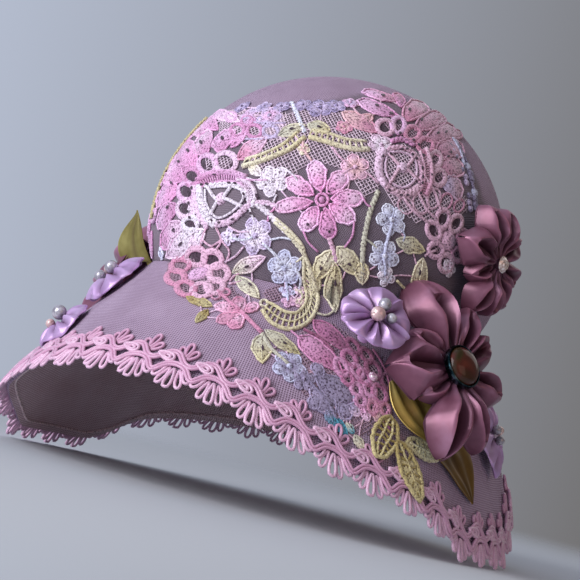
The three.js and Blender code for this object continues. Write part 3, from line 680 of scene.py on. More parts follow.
class ThreadWork:
    """Gathers many small sewn bodies into one mesh, with a tint at every corner."""

    def __init__(self, seed):
        self.points, self.faces, self.tints, self.pit_shade_share = [], [], [], []
        self.count = 0
        self.chance = np.random.default_rng(seed)

    def add(self, rings, tints, loop_ends=False, pit_shade_share=0.0):
        """A closed body from like rings of corners, capped at both ends unless the ends meet."""
        steps, sides = rings.shape[:2]
        ring, side = np.meshgrid(np.arange(steps if loop_ends else steps - 1), np.arange(sides), indexing="ij")
        after, beyond = (ring + 1) % steps * sides, (side + 1) % sides
        ring = ring * sides
        faces = [np.stack([ring + side, ring + beyond, after + beyond, after + side], -1).reshape(-1, 4)]
        if not loop_ends:
            fan = np.array([[0, k + 1, k + 2, k + 3] for k in range(0, sides - 2, 2)])
            faces += [fan[:, ::-1], fan + (steps - 1) * sides]
        self.points.append(rings.reshape(-1, 3))
        self.faces.append(np.concatenate(faces) + self.count)
        self.tints.append(np.broadcast_to(tints, rings.shape).reshape(-1, 3))
        self.pit_shade_share.append(np.repeat(np.broadcast_to(np.asarray(pit_shade_share, float), steps), sides))
        self.count += steps * sides

    def rope(self, line, out, radius, tint, sides=6, closed=False, flat=1.0):
        """A cord along a line of points, with a width across the surface and a flatter height. An open end is
        capped in quads, so it has an even count of sides."""
        sides += 0 if closed else sides % 2
        ahead = np.roll(line, -1, 0) - np.roll(line, 1, 0)
        if not closed:
            ahead[0], ahead[-1] = line[1] - line[0], line[-1] - line[-2]
        ahead = unit(ahead)
        aside = unit(np.cross(ahead, out))
        above = np.cross(aside, ahead)
        around = 2 * math.pi * np.arange(sides) / sides
        radius = np.broadcast_to(np.asarray(radius, float), len(line))[:, None, None]
        rings = (line[:, None] + aside[:, None] * (np.cos(around)[None, :, None] * radius)
                 + above[:, None] * (np.sin(around)[None, :, None] * radius * flat))
        tint = np.broadcast_to(np.asarray(tint, float), (len(line), 3))
        self.add(rings, tint[:, None, :], closed)

    def cord(self, angle, down, radius, tint, lift=0.6, sides=6, closed=False, flat=1.0):
        """A rope laid on the chart."""
        self.rope(on_hat(angle, down, lift), chart_read(out_chart, angle, down), radius, tint, sides, closed, flat)

    def twist(self, angle, down, width, tint, lift=0.6, turn=5.2):
        """Two cords wound round each other along a line on the chart, as a stem is stitched."""
        line, out = on_hat(angle, down), chart_read(out_chart, angle, down)
        aside = np.cross(unit(np.gradient(line, axis=0)), out)
        for start in (0.0, math.pi):
            wind = 2 * math.pi * lengths_along(line) / turn + start
            shift = aside * (0.22 * width * np.cos(wind))[:, None] + out * (lift + 0.3 * np.sin(wind))[:, None]
            tone = np.asarray(tint) * self.chance.uniform(0.92, 1.1, len(line))[:, None]
            self.rope(line + shift, out, 0.3 * width * (1 + 0.12 * np.sin(1.7 * wind)), lit(tone, 1), flat=0.8)

    def pad(self, angle, down, height, tint, edge=0.3, base=0.0):
        """A padded patch inside an outline on the chart, domed toward its middle."""
        outline = np.array([angle, down])
        middle = outline.mean(1, keepdims=True)
        rings, tints = [], []
        # The pad's foot is painted darker, as shade where it meets the ground, and its dome painted lighter, as light
        # on its top.
        for share, lift, light in ((1, 0, 0.75), (1, edge, 0.95), (0.72, height * 0.85, 1), (0.3, height, 1.06)):
            rings.append(on_hat(*middle + (outline - middle) * share, base + lift))
            tints.append(lit(np.broadcast_to(tint, (len(angle), 3)), light))
        self.add(np.array(rings), np.array(tints), pit_shade_share=(0, 0.2, 1, 1))

    def petal(self, base, tip, width, tint, tip_tint, shape="petal", height=1.3, edge=0.55):
        """A padded petal or leaf from a base to a tip on the chart, with a cord sewn round it."""
        radius = max(math.hypot(*on_hat(*base)[:2]), POLE_RADIUS)
        run = np.array([math.radians(tip[0] - base[0]) * radius, tip[1] - base[1]])
        way = run / max(math.hypot(*run), 1e-6)
        t = np.linspace(0, 1, PETAL_POINTS)
        swell = {"petal": np.sin(math.pi * t ** 1.35) ** 0.52, "leaf": np.sin(math.pi * t ** 0.9) ** 0.85,
                 "round": np.sin(math.pi * t) ** 0.45}[shape]
        wobble = 1 + 0.12 * self.chance.uniform(-1, 1, (2, PETAL_POINTS))
        right, left = 0.5 * width * swell * wobble
        along = np.concatenate([t, t[-2:0:-1]])
        aside = np.concatenate([right, -left[-2:0:-1]])
        aside[0] = aside[PETAL_POINTS - 1] = 0
        angle, down = beside(*base, along * run[0] - way[1] * aside, along * run[1] + way[0] * aside)
        tone = toward(tint, tip_tint, along) * self.chance.uniform(0.88, 1.08)
        self.pad(angle, down, height, tone)
        self.cord(angle, down, edge, lit(tone, 1.2), 0.6, 5, True)
        if shape == "leaf":
            vein = np.linspace(0.05, 0.9, 6)
            self.cord(*beside(*base, vein * run[0], vein * run[1]), 0.4, lit(tone[:6], 1.1), height * 0.8 + 0.15, 4)

    def eyelet(self, x, y, wide, tall, band, tint, turn=0.0):
        """A band sewn round a hole, by the hole's place and size in the picture; a wide band's hole gets a pad of
        painted shade.
        """
        more = band / PIXEL
        angle, down = picture_oval(x, y, wide + more, tall + more, turn)
        self.cord(angle, down, band / 2, tint, 0.6, 8, True, min(1.6 / band, 1.0))
        if band > 2:
            self.paint_hole_shade(x, y, wide * 1.15, tall * 1.15, turn, 0.12)

    def paint_hole_shade(self, x, y, wide, tall, turn=0.0, lift=1.9):
        """A flat dark pad of painted shade where a small hole between the stitches shows, by its place and size in
        the picture.
        """
        self.pad(*picture_oval(x, y, wide, tall, turn, 10), 0.12, np.asarray(HOLE_SHADE_TONE), 0.06, lift)

    def knot(self, centre, radius, height, tint, count=10):
        """A small padded knot."""
        self.pad(*beside(*centre, *oval(2 * radius, 2 * radius, count=count)), height, np.asarray(tint))

    def piece(self, name, material):
        """The mesh of all that was gathered, in the part's frame."""
        points, faces = (np.concatenate(self.points) + SHIFT) * MM, np.concatenate(self.faces)
        mesh = bpy.data.meshes.new(name)
        mesh.vertices.add(len(points))
        mesh.vertices.foreach_set("co", points.ravel())
        mesh.loops.add(faces.size)
        mesh.loops.foreach_set("vertex_index", faces.ravel().astype(np.int32))
        mesh.polygons.add(len(faces))
        mesh.polygons.foreach_set("loop_start", np.arange(0, faces.size, 4, dtype=np.int32))
        mesh.update(calc_edges=True)
        layer = mesh.color_attributes.new("tint", "FLOAT_COLOR", "POINT")
        corners = np.concatenate([np.concatenate(self.tints), np.concatenate(self.pit_shade_share)[:, None]], 1)
        layer.data.foreach_set("color", corners.ravel())
        made = bpy.data.objects.new(name, mesh)
        bpy.context.scene.collection.objects.link(made)
        mesh.materials.append(material)
        face_out(made)
        bpy.ops.object.shade_smooth()
        print(name, "has", 2 * len(faces), "triangles")
        return made


# %% Smooth lines
LINE_STEP, STEM_STEP = 1.6, 0.9


def smooth_line(pixels, spacing=LINE_STEP):
    """A smooth line on the chart through pixels of the picture, with its points a spacing apart."""
    places = spots(pixels)
    knots = lengths_along(on_hat(*places))
    at = np.linspace(0, knots[-1], max(int(round(knots[-1] / spacing)), 3) + 1)
    i = np.clip(np.searchsorted(knots, at, side="right") - 1, 0, len(knots) - 2)
    span = np.maximum(knots[i + 1] - knots[i], 1e-6)
    t = (at - knots[i]) / span
    lines = []
    for values in places:
        slope = np.gradient(values, np.maximum.accumulate(knots + 1e-6 * np.arange(len(knots))))
        h00, h10 = (1 + 2 * t) * (1 - t) ** 2, t * (1 - t) ** 2
        h01, h11 = t * t * (3 - 2 * t), t * t * (t - 1)
        lines.append(h00 * values[i] + h10 * span * slope[i] + h01 * values[i + 1] + h11 * span * slope[i + 1])
    return lines


# %% [markdown]
# Dyed cotton is matt, a little fuzzy, and speckled where single threads catch the light between tiny pits:
# the speckle is painted light and shade, and the pits are painted dark as shade. The tint painted on each
# corner gives the hand dyeing; noise at the size of a stitch does the rest.

# %% The lace's finish
cotton, tree, shader = plain_shader("dyed_cotton", Roughness=0.85, Sheen_Weight=0.3, Sheen_Roughness=0.5,
                                    Specular_IOR_Level=0.2)
tint = attribute_of(tree, "tint")
threads = noise_of(tree, 1050.0, 1.5, Roughness=0.6)
speckle = ramp_of(tree, threads, [(0.34, (0.42, 0.3696, 0.3864)), (0.46, (0.95, 0.94, 0.95)), (0.64, (1.22,) * 3)])
cells = on_object(tree, "TexVoronoi", Scale=520.0).outputs["Distance"]
# Painted shade in the tiny pits of the stitching, strongest on the padded tops.
holes = ramp_of(tree, cells, [(0.2, (0.26, 0.2, 0.25)), (0.33, (1.0, 1.0, 1.0))])
dyed = mixed(tree, 1.0, tint["Color"], speckle)
dress(tree, shader, mixed(tree, tint["Alpha"], dyed, holes), threads, Strength=0.7, Distance=0.0004)
TINTS = {name: tone_of(*tone) for name, tone in {
    "hot": (232, 164, 210), "icing": (240, 200, 230), "pink": (206, 146, 188), "candy": (222, 178, 214),
    "white": (230, 220, 232), "blush": (226, 196, 220), "rose": (206, 142, 172), "shell": (222, 180, 204),
    "dusty": (196, 142, 168), "dusk": (216, 178, 198), "peach": (226, 186, 190), "olive": (186, 176, 134),
    "cream": (226, 219, 194), "hay": (212, 202, 162), "sage": (196, 193, 176), "blue": (196, 198, 224),
    "sky": (218, 220, 236), "lilac": (198, 182, 214), "slate": (142, 132, 160), "heath": (164, 152, 182),
    "mauve": (184, 118, 156), "plum": (208, 150, 188), "wine": (150, 92, 122), "teal": (76, 146, 168),
    "bark": (158, 138, 82), "net": (222, 200, 216), "dark_net": (168, 138, 156), "violet": (150, 138, 176),
}.items()}
print(len(TINTS), "dyed tints")

# %% [markdown]
# Each petal and leaf of the lace is one row: where its base and its tip show in the picture, its real
# width in millimetres, its tone at the base and at the tip, and its form where it isn't a plain petal.

# %% Petals and leaves of the lace
LACE_PETALS = [
    # the daisy
    (321, 192, 315, 161, 9.6, "hot", "icing"), (327, 194, 346, 172, 9, "hot", "icing"),
    (331, 199, 363, 198, 8.6, "hot", "icing"), (329, 205, 355, 221, 9.4, "hot", "icing"),
    (325, 208, 330, 240, 8, "hot", "pink"), (318, 207, 302, 231, 9.2, "hot", "icing"),
    (313, 202, 274, 208, 7.2, "hot", "icing"), (314, 195, 287, 179, 8.2, "hot", "icing"),
    # fan of the left rosette
    (238, 160, 267, 138, 11, "rose", "blush", "leaf"), (223, 153, 226, 131, 13.6, "pink", "candy"),
    (208, 156, 203, 134, 13, "pink", "blush"), (199, 166, 185, 145, 13.4, "hot", "candy"),
    (189, 170, 172, 158, 13, "pink", "candy"), (184, 181, 161, 176, 13.6, "pink", "icing"),
    (180, 192, 159, 198, 14, "hot", "candy"), (179, 208, 158, 222, 14.4, "pink", "candy"),
    (184, 224, 162, 245, 13.4, "blush", "pink"), (198, 232, 168, 258, 12.4, "white", "blush", "leaf"),
    (206, 230, 190, 250, 8, "white", "blush", "leaf"), (196, 200, 191, 218, 7, "blush", "white", "round"),
    (219, 131, 199, 122, 7.4, "pink", "candy"), (241, 123, 217, 113, 6.8, "blush", "candy"),
    (243, 118, 257, 110, 5.6, "candy", "lilac"), (256, 126, 244, 116, 6, "pink", "lilac"),
    (205, 138, 190, 132, 6.4, "pink", "blush"), (232, 148, 246, 133, 6.8, "pink", "candy", "leaf"),
    (180, 152, 176, 146, 5, "pink", "icing"),
    # fan of the right rosette
    (398, 117, 358, 102, 12, "pink", "candy"), (400, 101, 358, 92, 11, "rose", "candy"),
    (379, 133, 344, 114, 10.4, "rose", "peach"), (403, 122, 410, 98, 12.6, "rose", "dusk"),
    (414, 131, 427, 107, 12.6, "dusty", "shell"), (426, 142, 444, 122, 13, "dusty", "dusk"),
    (434, 155, 457, 143, 13.6, "dusty", "shell"), (439, 170, 460, 164, 12.6, "dusty", "dusk"),
    (441, 184, 462, 190, 12.6, "lilac", "dusk"), (372, 116, 356, 124, 6.4, "peach", "rose", "leaf"),
    (400, 108, 396, 94, 6.4, "pink", "rose"), (430, 122, 438, 112, 6, "dusty", "rose"),
    (446, 138, 456, 130, 5.6, "dusk", "dusty"),
    # leaves about the middle
    (279, 136, 304, 126, 8, "sage", "cream", "leaf"), (308, 125, 330, 131, 8, "sage", "hay", "leaf"),
    (331, 250, 315, 281, 9.2, "cream", "hay", "leaf"), (337, 247, 359, 275, 9.2, "cream", "hay", "leaf"),
    (335, 263, 335, 313, 8.8, "hay", "cream", "leaf"), (233, 273, 267, 257, 7, "sage", "blush", "leaf"),
    (237, 277, 262, 300, 7.4, "sage", "cream", "leaf"), (396, 240, 424, 251, 7.4, "sage", "hay", "leaf"),
    (422, 258, 413, 296, 8.8, "cream", "olive", "leaf"), (361, 262, 362, 284, 7, "hay", "cream", "leaf"),
    (318, 276, 312, 296, 5, "hay", "cream", "leaf"), (250, 166, 262, 176, 4.6, "cream", "white", "leaf"),
    # bow flower, leaves and buds on the brim
    (240, 312, 215, 306, 6.6, "rose", "shell"), (240, 314, 216, 322, 6.6, "rose", "dusty"),
    (242, 315, 231, 329, 7.4, "shell", "rose"), (243, 311, 237, 298, 6.6, "shell", "rose"),
    (246, 313, 257, 304, 5.4, "rose", "shell"), (261, 335, 263, 364, 9.6, "sage", "hay", "leaf"),
    (265, 331, 301, 356, 7.2, "sage", "olive", "leaf"), (212, 307, 187, 298, 5.2, "olive", "bark", "leaf"),
    (208, 311, 196, 323, 4.8, "bark", "olive", "leaf"),
    # the large rosette low on the wearer's left
    (342, 372, 300, 338, 12.6, "mauve", "plum"), (352, 354, 315, 322, 9.4, "wine", "mauve"),
    (376, 404, 380, 424, 7, "mauve", "peach"), (362, 408, 368, 422, 5, "plum", "blush", "leaf"),
    # grey-blue flowers and the teal tip beside it
    (314, 374, 355, 404, 13.6, "slate", "heath"), (309, 389, 336, 414, 10.4, "heath", "slate"),
    (338, 404, 350, 420, 7.4, "slate", "heath"), (322, 396, 309, 408, 6.4, "slate", "heath"),
    (350, 406, 358, 417, 5.6, "heath", "blush", "leaf"), (322, 378, 314, 364, 6.4, "slate", "heath"),
    (334, 418, 347, 438, 5, "teal", "teal", "leaf"), (326, 410, 334, 427, 4.4, "slate", "teal", "leaf"),
    (346, 424, 353, 434, 3.8, "sage", "teal", "leaf"), (354, 436, 363, 450, 4.4, "sage", "cream", "leaf"),
]
PETAL_CORD, FLOWER_CORD = 0.65, 0.5
lace_crown, lace_brim = ThreadWork(11), ThreadWork(12)


def work_at(place):
    """The lace of the crown or of the brim, by where a motif begins."""
    return lace_brim if place[1] > float(hat_head(place[0])) else lace_crown


for base_x, base_y, tip_x, tip_y, width, tint, tip_tint, *shape in LACE_PETALS:
    base = spot(base_x, base_y)
    work_at(base).petal(base, spot(tip_x, tip_y), width, TINTS[tint], TINTS[tip_tint], *shape, edge=PETAL_CORD)
print(len(LACE_PETALS), "petals and leaves")

# %% [markdown]
# The small flowers have five round petals about a knot, or four where the row says so. The open flowers have
# a ring of holes round a padded heart, each hole edged with a thick cord, and so have the rosettes' eyelets.

# %% Small flowers
SMALL_COLUMNS = ("x", "y", "radius", "tint", "tip", "turn", "petals")
SMALL_FLOWERS = [
    (273, 181, 8.8, "white", "white", 10), (355, 168, 7.6, "peach", "shell", 30),
    (391, 220, 8.2, "blue", "sky", 20), (384, 256, 8.2, "blue", "sky"), (256, 236, 9.6, "white", "lilac", 18),
    (285, 268, 9.2, "sky", "blue", 36), (270, 117, 7.4, "candy", "lilac"), (320, 109, 7.4, "lilac", "violet", 24),
    (243, 108, 4.6, "lilac", "violet"), (264, 108, 4.4, "violet", "lilac", 30), (282, 108, 4.6, "lilac", "violet"),
    (303, 106, 4.8, "lilac", "violet", 10), (336, 107, 5.4, "lilac", "violet", 10),
    (350, 104, 4.2, "lilac", "candy", 40), (381, 146, 7, "white", "blush", 12), (344, 128, 4.4, "peach", "rose"),
    (289, 367, 8.8, "slate", "blue"), (303, 380, 6.4, "slate", "heath", 40),
    (229, 237, 4.8, "white", "lilac", 0, 4), (287, 292, 4.2, "lilac", "blue", 0, 4),
    (288, 303, 3.6, "shell", "candy", 0, 4), (299, 291, 3, "cream", "blush", 20, 4),
    (299, 303, 3.2, "cream", "shell", 0, 4), (386, 277, 4.8, "sky", "white", 0, 4),
    (304, 150, 3.2, "peach", "cream", 0, 4), (162, 254, 3.6, "blue", "sky", 0, 4),
    (448, 268, 4.6, "blush", "white"),
]
for motif in rows_of(SMALL_COLUMNS, SMALL_FLOWERS, turn=0, petals=5):
    heart, radius = spot(motif["x"], motif["y"]), motif["radius"]
    work = work_at(heart)
    for k in range(motif["petals"]):
        way = 2 * math.pi * k / motif["petals"] + math.radians(motif["turn"])
        inner, outer = (beside(*heart, share * radius * math.cos(way), share * radius * math.sin(way))
                        for share in (0.08, 1.0))
        work.petal(inner, outer, radius * 0.74, TINTS[motif["tint"]], TINTS[motif["tip"]], edge=FLOWER_CORD)
    work.knot(heart, radius * 0.2, 2.0, TINTS[motif["tip"]])
print(len(SMALL_FLOWERS), "small flowers")

# %% Eyelets and small holes
EYELETS = [
    # open flower at the left
    (197, 257, 12, 11, 3.8, "shell"), (213, 260, 12, 11, 3.8, "shell", 20), (181, 266, 12, 7, 3.8, "rose", -15),
    (219, 274, 12, 11, 3.8, "shell"), (176, 278, 11, 7, 3.8, "rose", 5), (186, 289, 11, 7, 3.8, "rose", 20),
    (202, 291, 12, 7, 3.8, "shell", -5), (215, 287, 10, 8, 3.6, "shell", -20),
    # open flower at the right
    (442, 219, 7, 13, 3, "shell", 10), (455, 224, 6.5, 12, 3, "dusk", 20), (433, 231, 7, 13, 3, "shell", -25),
    (462, 237, 6, 8, 3, "dusty"), (435, 250, 9, 9, 3, "shell", 30), (445, 263, 8, 12, 3, "dusk"),
    (457, 255, 6, 8, 3, "dusty", -30),
    # eyelets of the left rosette
    (208, 165, 11, 12, 3.6, "candy"), (226, 163, 15, 13, 3.6, "blush"), (193, 177, 9, 10, 3.6, "pink", 20),
    (187, 192, 9, 11, 3.6, "candy"), (186, 209, 9, 11, 3.6, "blush"), (191, 224, 8, 7, 3.6, "white"),
    # eyelets of the right rosette
    (385, 128, 11, 9, 3.2, "shell", 10), (398, 126, 7, 10, 3.2, "candy"), (412, 134, 9, 8, 3.2, "rose"),
    (425, 146, 10, 9, 3.2, "rose", 30), (434, 160, 7, 10, 3.2, "dusk"), (438, 178, 7, 10, 3.2, "dusk"),
    (433, 199, 10, 18, 1.3, "dusk", 15), (445, 202, 9, 15, 1.3, "dusty", 20), (420, 204, 13, 18, 1.3, "dusk", -20),
    (458, 206, 7, 11, 1.3, "dusty", 25), (405, 206, 13, 15, 1.1, "dusk", -30),
    # cells above the left wing
    (238, 131, 9, 8, 2.4, "pink"), (255, 132, 10, 8, 2.4, "pink"), (271, 132, 11, 7, 2.2, "lilac"),
    (232, 118, 7, 5, 2, "candy", -20), (248, 122, 8, 5, 2, "pink"),
    # the rosette on the brim
    (349, 359, 4.5, 11, 3.4, "mauve", -39), (340.6, 368, 4.5, 12, 3.4, "plum", -33),
    (373, 370, 5.5, 14, 3.2, "wine", -36), (379, 394.5, 6.5, 14, 3.2, "mauve", -27),
    (364, 378, 3.5, 9, 3.6, "mauve", -30), (356.5, 372, 3.2, 9, 3.4, "plum", -35),
    (360, 402, 4, 6, 3.2, "plum", -20), (347, 379, 4, 9, 3.2, "mauve", -35), (353, 347, 3, 12, 3.2, "wine", -40),
    (366, 356, 3, 11, 3, "wine", -38), (369, 390, 3.6, 9, 3.4, "plum", -28), (372, 408, 4, 8, 3.2, "rose", -15),
    (384, 410, 4, 8, 2.8, "rose", -20), (386, 382, 3.4, 10, 2.8, "wine", -26),
    (356, 390, 3.4, 8, 3.2, "plum", -30),
    # single rings
    (322, 200, 9, 9, 1.6, "hot"), (264, 304, 5, 4, 1.4, "cream"), (226, 293, 6, 4, 1.3, "rose"),
    (216, 297, 6, 4, 1.3, "dusty"),
]
SHADED_HOLES = [
    # round the left window
    (203.8, 185.6, 3.4, 2.4), (209, 185, 3.4, 2.4), (230.6, 184, 3.6, 2.4), (236.5, 184.4, 3.4, 2.4, 10),
    (245, 195, 2.4, 3.6, -20), (247, 203, 2.4, 3.4, 10), (245, 216, 3.4, 2.4, -40), (234, 220, 3.4, 2.2, -25),
    (221, 223, 3.4, 2.4, -10), (214, 221, 2.6, 3.4, -40), (209, 219, 2.4, 3.4, -30), (194, 189, 2.2, 3.4, 20),
    (191, 196, 2.4, 3), (191, 204, 2.2, 3.2), (190, 212, 2.4, 3), (192, 218, 2.4, 3, -20),
    (196, 226, 2.6, 3.4, -20), (258, 197, 3, 5, -20), (252, 214, 3, 3), (216, 176, 3, 2),
    # in the left fan
    (181, 163, 2.4, 2.4), (203, 144, 3, 4, -10), (224, 140, 3, 4), (174, 184, 2.4, 3), (170, 208, 2, 4, 30),
    (176, 230, 2, 4, 30), (190, 152, 2.6, 3.6, -20), (168, 172, 2.2, 3, 10), (183, 244, 2.2, 6, 40),
    (212, 168, 2.4, 2.4),
    # round the right window and its eyelets
    (382, 157.7, 2.6, 3.2), (389.4, 155.5, 2.6, 2.6), (401, 151, 3.2, 2.4), (405.5, 150.5, 3.2, 2.4),
    (411, 156, 2.4, 3.4, -30), (415, 160, 2.4, 3.6, -25), (417, 146.5, 3.2, 2.6, 30), (421.5, 157, 2.4, 3.6, -20),
    (420.6, 169, 2.2, 3.8), (421, 178, 2.2, 3.8), (420.6, 184, 2.2, 3.4, 10), (419, 194, 2.6, 3.2, 20),
    (406, 196, 3.4, 2.2), (399.6, 196, 3.4, 2.2), (388, 191, 3, 2.6, 30), (398.8, 135.4, 2.8, 3.2, -20),
    (393, 137, 3, 2.6), (430.4, 164, 2.4, 4, -10), (430, 176, 2.4, 4), (412, 142, 3, 2.4, 20),
    (448.7, 154, 2.4, 3), (454, 159.5, 2.6, 2.6), (446, 158, 2.4, 2.6), (436, 135, 2.6, 3.4, 40),
    (420, 122, 2.8, 3.6, 20), (408, 112, 2.8, 3.4, 10), (444, 134, 2.4, 3.2, 40), (390, 116, 4, 2.4, 20),
    (376, 108, 4.4, 2.2, 15), (382, 98, 4.4, 2.2, 10),
    # in the daisy and the leaves
    (315, 193, 2.2, 2.6, 30), (329, 193, 2.2, 2.6, -30), (331, 203, 2.4, 2.4), (322, 211, 2.4, 2.4),
    (312, 206, 2.4, 2.4), (308, 225, 3, 3), (329, 232, 2.6, 3), (321, 268, 2.4, 4.4, 25),
    (349, 264, 2.4, 4.4, -35), (335, 282, 2.2, 7), (335, 296, 2.2, 6), (418, 272, 2.2, 6, 10), (262, 350, 2.4, 6),
    (284, 345, 5, 2.2, 30), (250, 287, 4.4, 2.2, 40), (248, 266, 5, 2.2, -25), (292, 131, 4.6, 2.2, -15),
    (319, 129, 4.6, 2.2, 15),
]
HEARTS = [
    (322, 200, 1.9, "pink"), (199, 274, 6.4, "candy"), (448, 241, 5.4, "shell"), (221, 199, 3.6, "blush"),
    (402, 168, 3.2, "blush"),
]
HEART_HEIGHT, HEART_SIDES = 1.9, 14
# Each small hole is a flat dark pad of painted shade.
for x, y, wide, tall, *turn in SHADED_HOLES:
    work_at(spot(x, y)).paint_hole_shade(x, y, wide, tall, *turn)
for x, y, wide, tall, band, tint, *turn in EYELETS:
    work_at(spot(x, y)).eyelet(x, y, wide, tall, band, TINTS[tint], *turn)
for x, y, radius, tint in HEARTS:
    lace_crown.knot(spot(x, y), radius, HEART_HEIGHT, TINTS[tint], HEART_SIDES)
print(len(EYELETS), "eyelets and", len(SHADED_HOLES), "small holes")

# %% [markdown]
# Scrolls and stems are cords through a few places, and the broad ones are flat bands. A ladder scroll is two
# cords with short bars across, which leaves the row of little square holes that shows on the real one.


# %% Ladder scrolls
def ladder(tint, tip, radii, step, bar, outer, inner, spine=False):
    """Two cords with bars across from one to the other, and a third cord between them if it has a spine."""
    lines = [smooth_line(outer), smooth_line(inner)]
    count = max(len(line[0]) for line in lines)
    share = np.linspace(0, 1, count)
    one, other = (np.array([np.interp(share, np.linspace(0, 1, len(v)), v) for v in line]) for line in lines)
    tone = np.asarray(TINTS[tint]) * (1 - share[:, None]) + np.asarray(TINTS[tip]) * share[:, None]
    for line, radius in zip((one, other), radii):
        lace_crown.cord(*line, radius, tone, 0.8)
    if spine:
        lace_crown.cord(*(one + other) / 2, bar, tone, 0.7)
    for k in range(0, count - 1, max(int(round(step / LINE_STEP)), 1)):
        rung = one[:, k, None] + (other[:, k] - one[:, k])[:, None] * np.linspace(0, 1, 3)
        lace_crown.cord(*rung, bar, tone[k], sides=4)


ladder("cream", "hay", (1.15, 0.9), 3.2, 0.55,
       [(275, 222), (290, 236), (302, 250), (308, 263), (313, 277), (317, 294), (315, 312), (303, 326), (287, 330),
        (272, 324), (262, 311)],
       [(276, 219), (292, 233), (304, 250), (304, 264), (304, 278), (306, 292), (304, 306), (294, 314), (283, 312),
        (274, 306), (266, 303)], spine=True)
ladder("cream", "hay", (0.9, 1.5), 2.6, 0.6, [(246, 160), (262, 155), (280, 147), (299, 132)],
       [(243, 167), (258, 163), (274, 157), (290, 150), (305, 138)])
ladder("hay", "cream", (0.9, 1.5), 2.6, 0.6, [(312, 131), (328, 134), (346, 140), (366, 142)],
       [(309, 138), (324, 142), (340, 147), (354, 150), (369, 150)])
ladder("pink", "candy", (1.7, 0.8), 2.4, 0.6, [(198, 181), (208, 176), (222, 173), (236, 174), (247, 178)],
       [(203, 187), (212, 184), (224, 182), (237, 183), (244, 186)])
ladder("dusk", "dusty", (1.4, 0.9), 2.4, 0.6, [(425, 149), (430, 165), (430, 182), (425, 196)],
       [(419, 152), (423, 166), (423, 182), (418, 194)])
ladder("blush", "white", (1.2, 0.9), 2.4, 0.6, [(238, 180), (250, 184), (256, 196), (253, 208)],
       [(241, 186), (246, 190), (249, 197), (247, 205)])
print("six ladder scrolls")

# %% Bands, stems and cords
BANDS = [
    ("white", 5.4, (200, 186), (202, 203), (208, 218), (216, 225)),
    ("blush", 3.6, (195, 186), (196, 202), (200, 216), (208, 228)),
    ("blush", 4.2, (216, 225), (229, 222), (242, 212), (252, 202)),
    ("white", 3.6, (206, 186), (222, 185), (238, 186), (248, 196)),
    ("white", 3.4, (252, 202), (263, 209), (275, 220), (286, 232)),
    ("blush", 3, (254, 203), (266, 203), (278, 207)), ("cream", 2.4, (284, 230), (294, 241), (303, 252)),
    ("blush", 5, (384, 150), (379, 160), (379, 174), (385, 186)),
    ("dusk", 4.6, (385, 186), (396, 193), (408, 194), (419, 187)),
    ("shell", 3.4, (386, 150), (400, 148), (412, 153), (420, 166), (420, 184)),
    ("pink", 3.6, (390, 142), (402, 140), (414, 146)),
    ("sage", 3, (378, 191), (370, 211), (366, 228), (363, 246), (362, 268), (362, 280)),
    ("shell", 2.8, (329, 238), (333, 250), (336, 263)), ("sky", 2.6, (292, 103), (298, 117), (305, 133)),
    ("cream", 2.4, (326, 256), (336, 262), (346, 258)),
    ("slate", 2.2, (454, 140), (461, 153), (467, 166), (471, 182), (474, 197), (474, 211)),
]
OUTER_STEM = [(198, 124), (186, 141), (174, 160), (165, 180), (158, 200), (154, 219)]
lace_crown.twist(*smooth_line(OUTER_STEM, STEM_STEP), 3.8, TINTS["olive"], 1.5)
for tint, width, *pixels in BANDS:
    angle, down = smooth_line(pixels, STEM_STEP)
    work_at((angle.mean(), down.mean())).twist(angle, down, width, TINTS[tint])

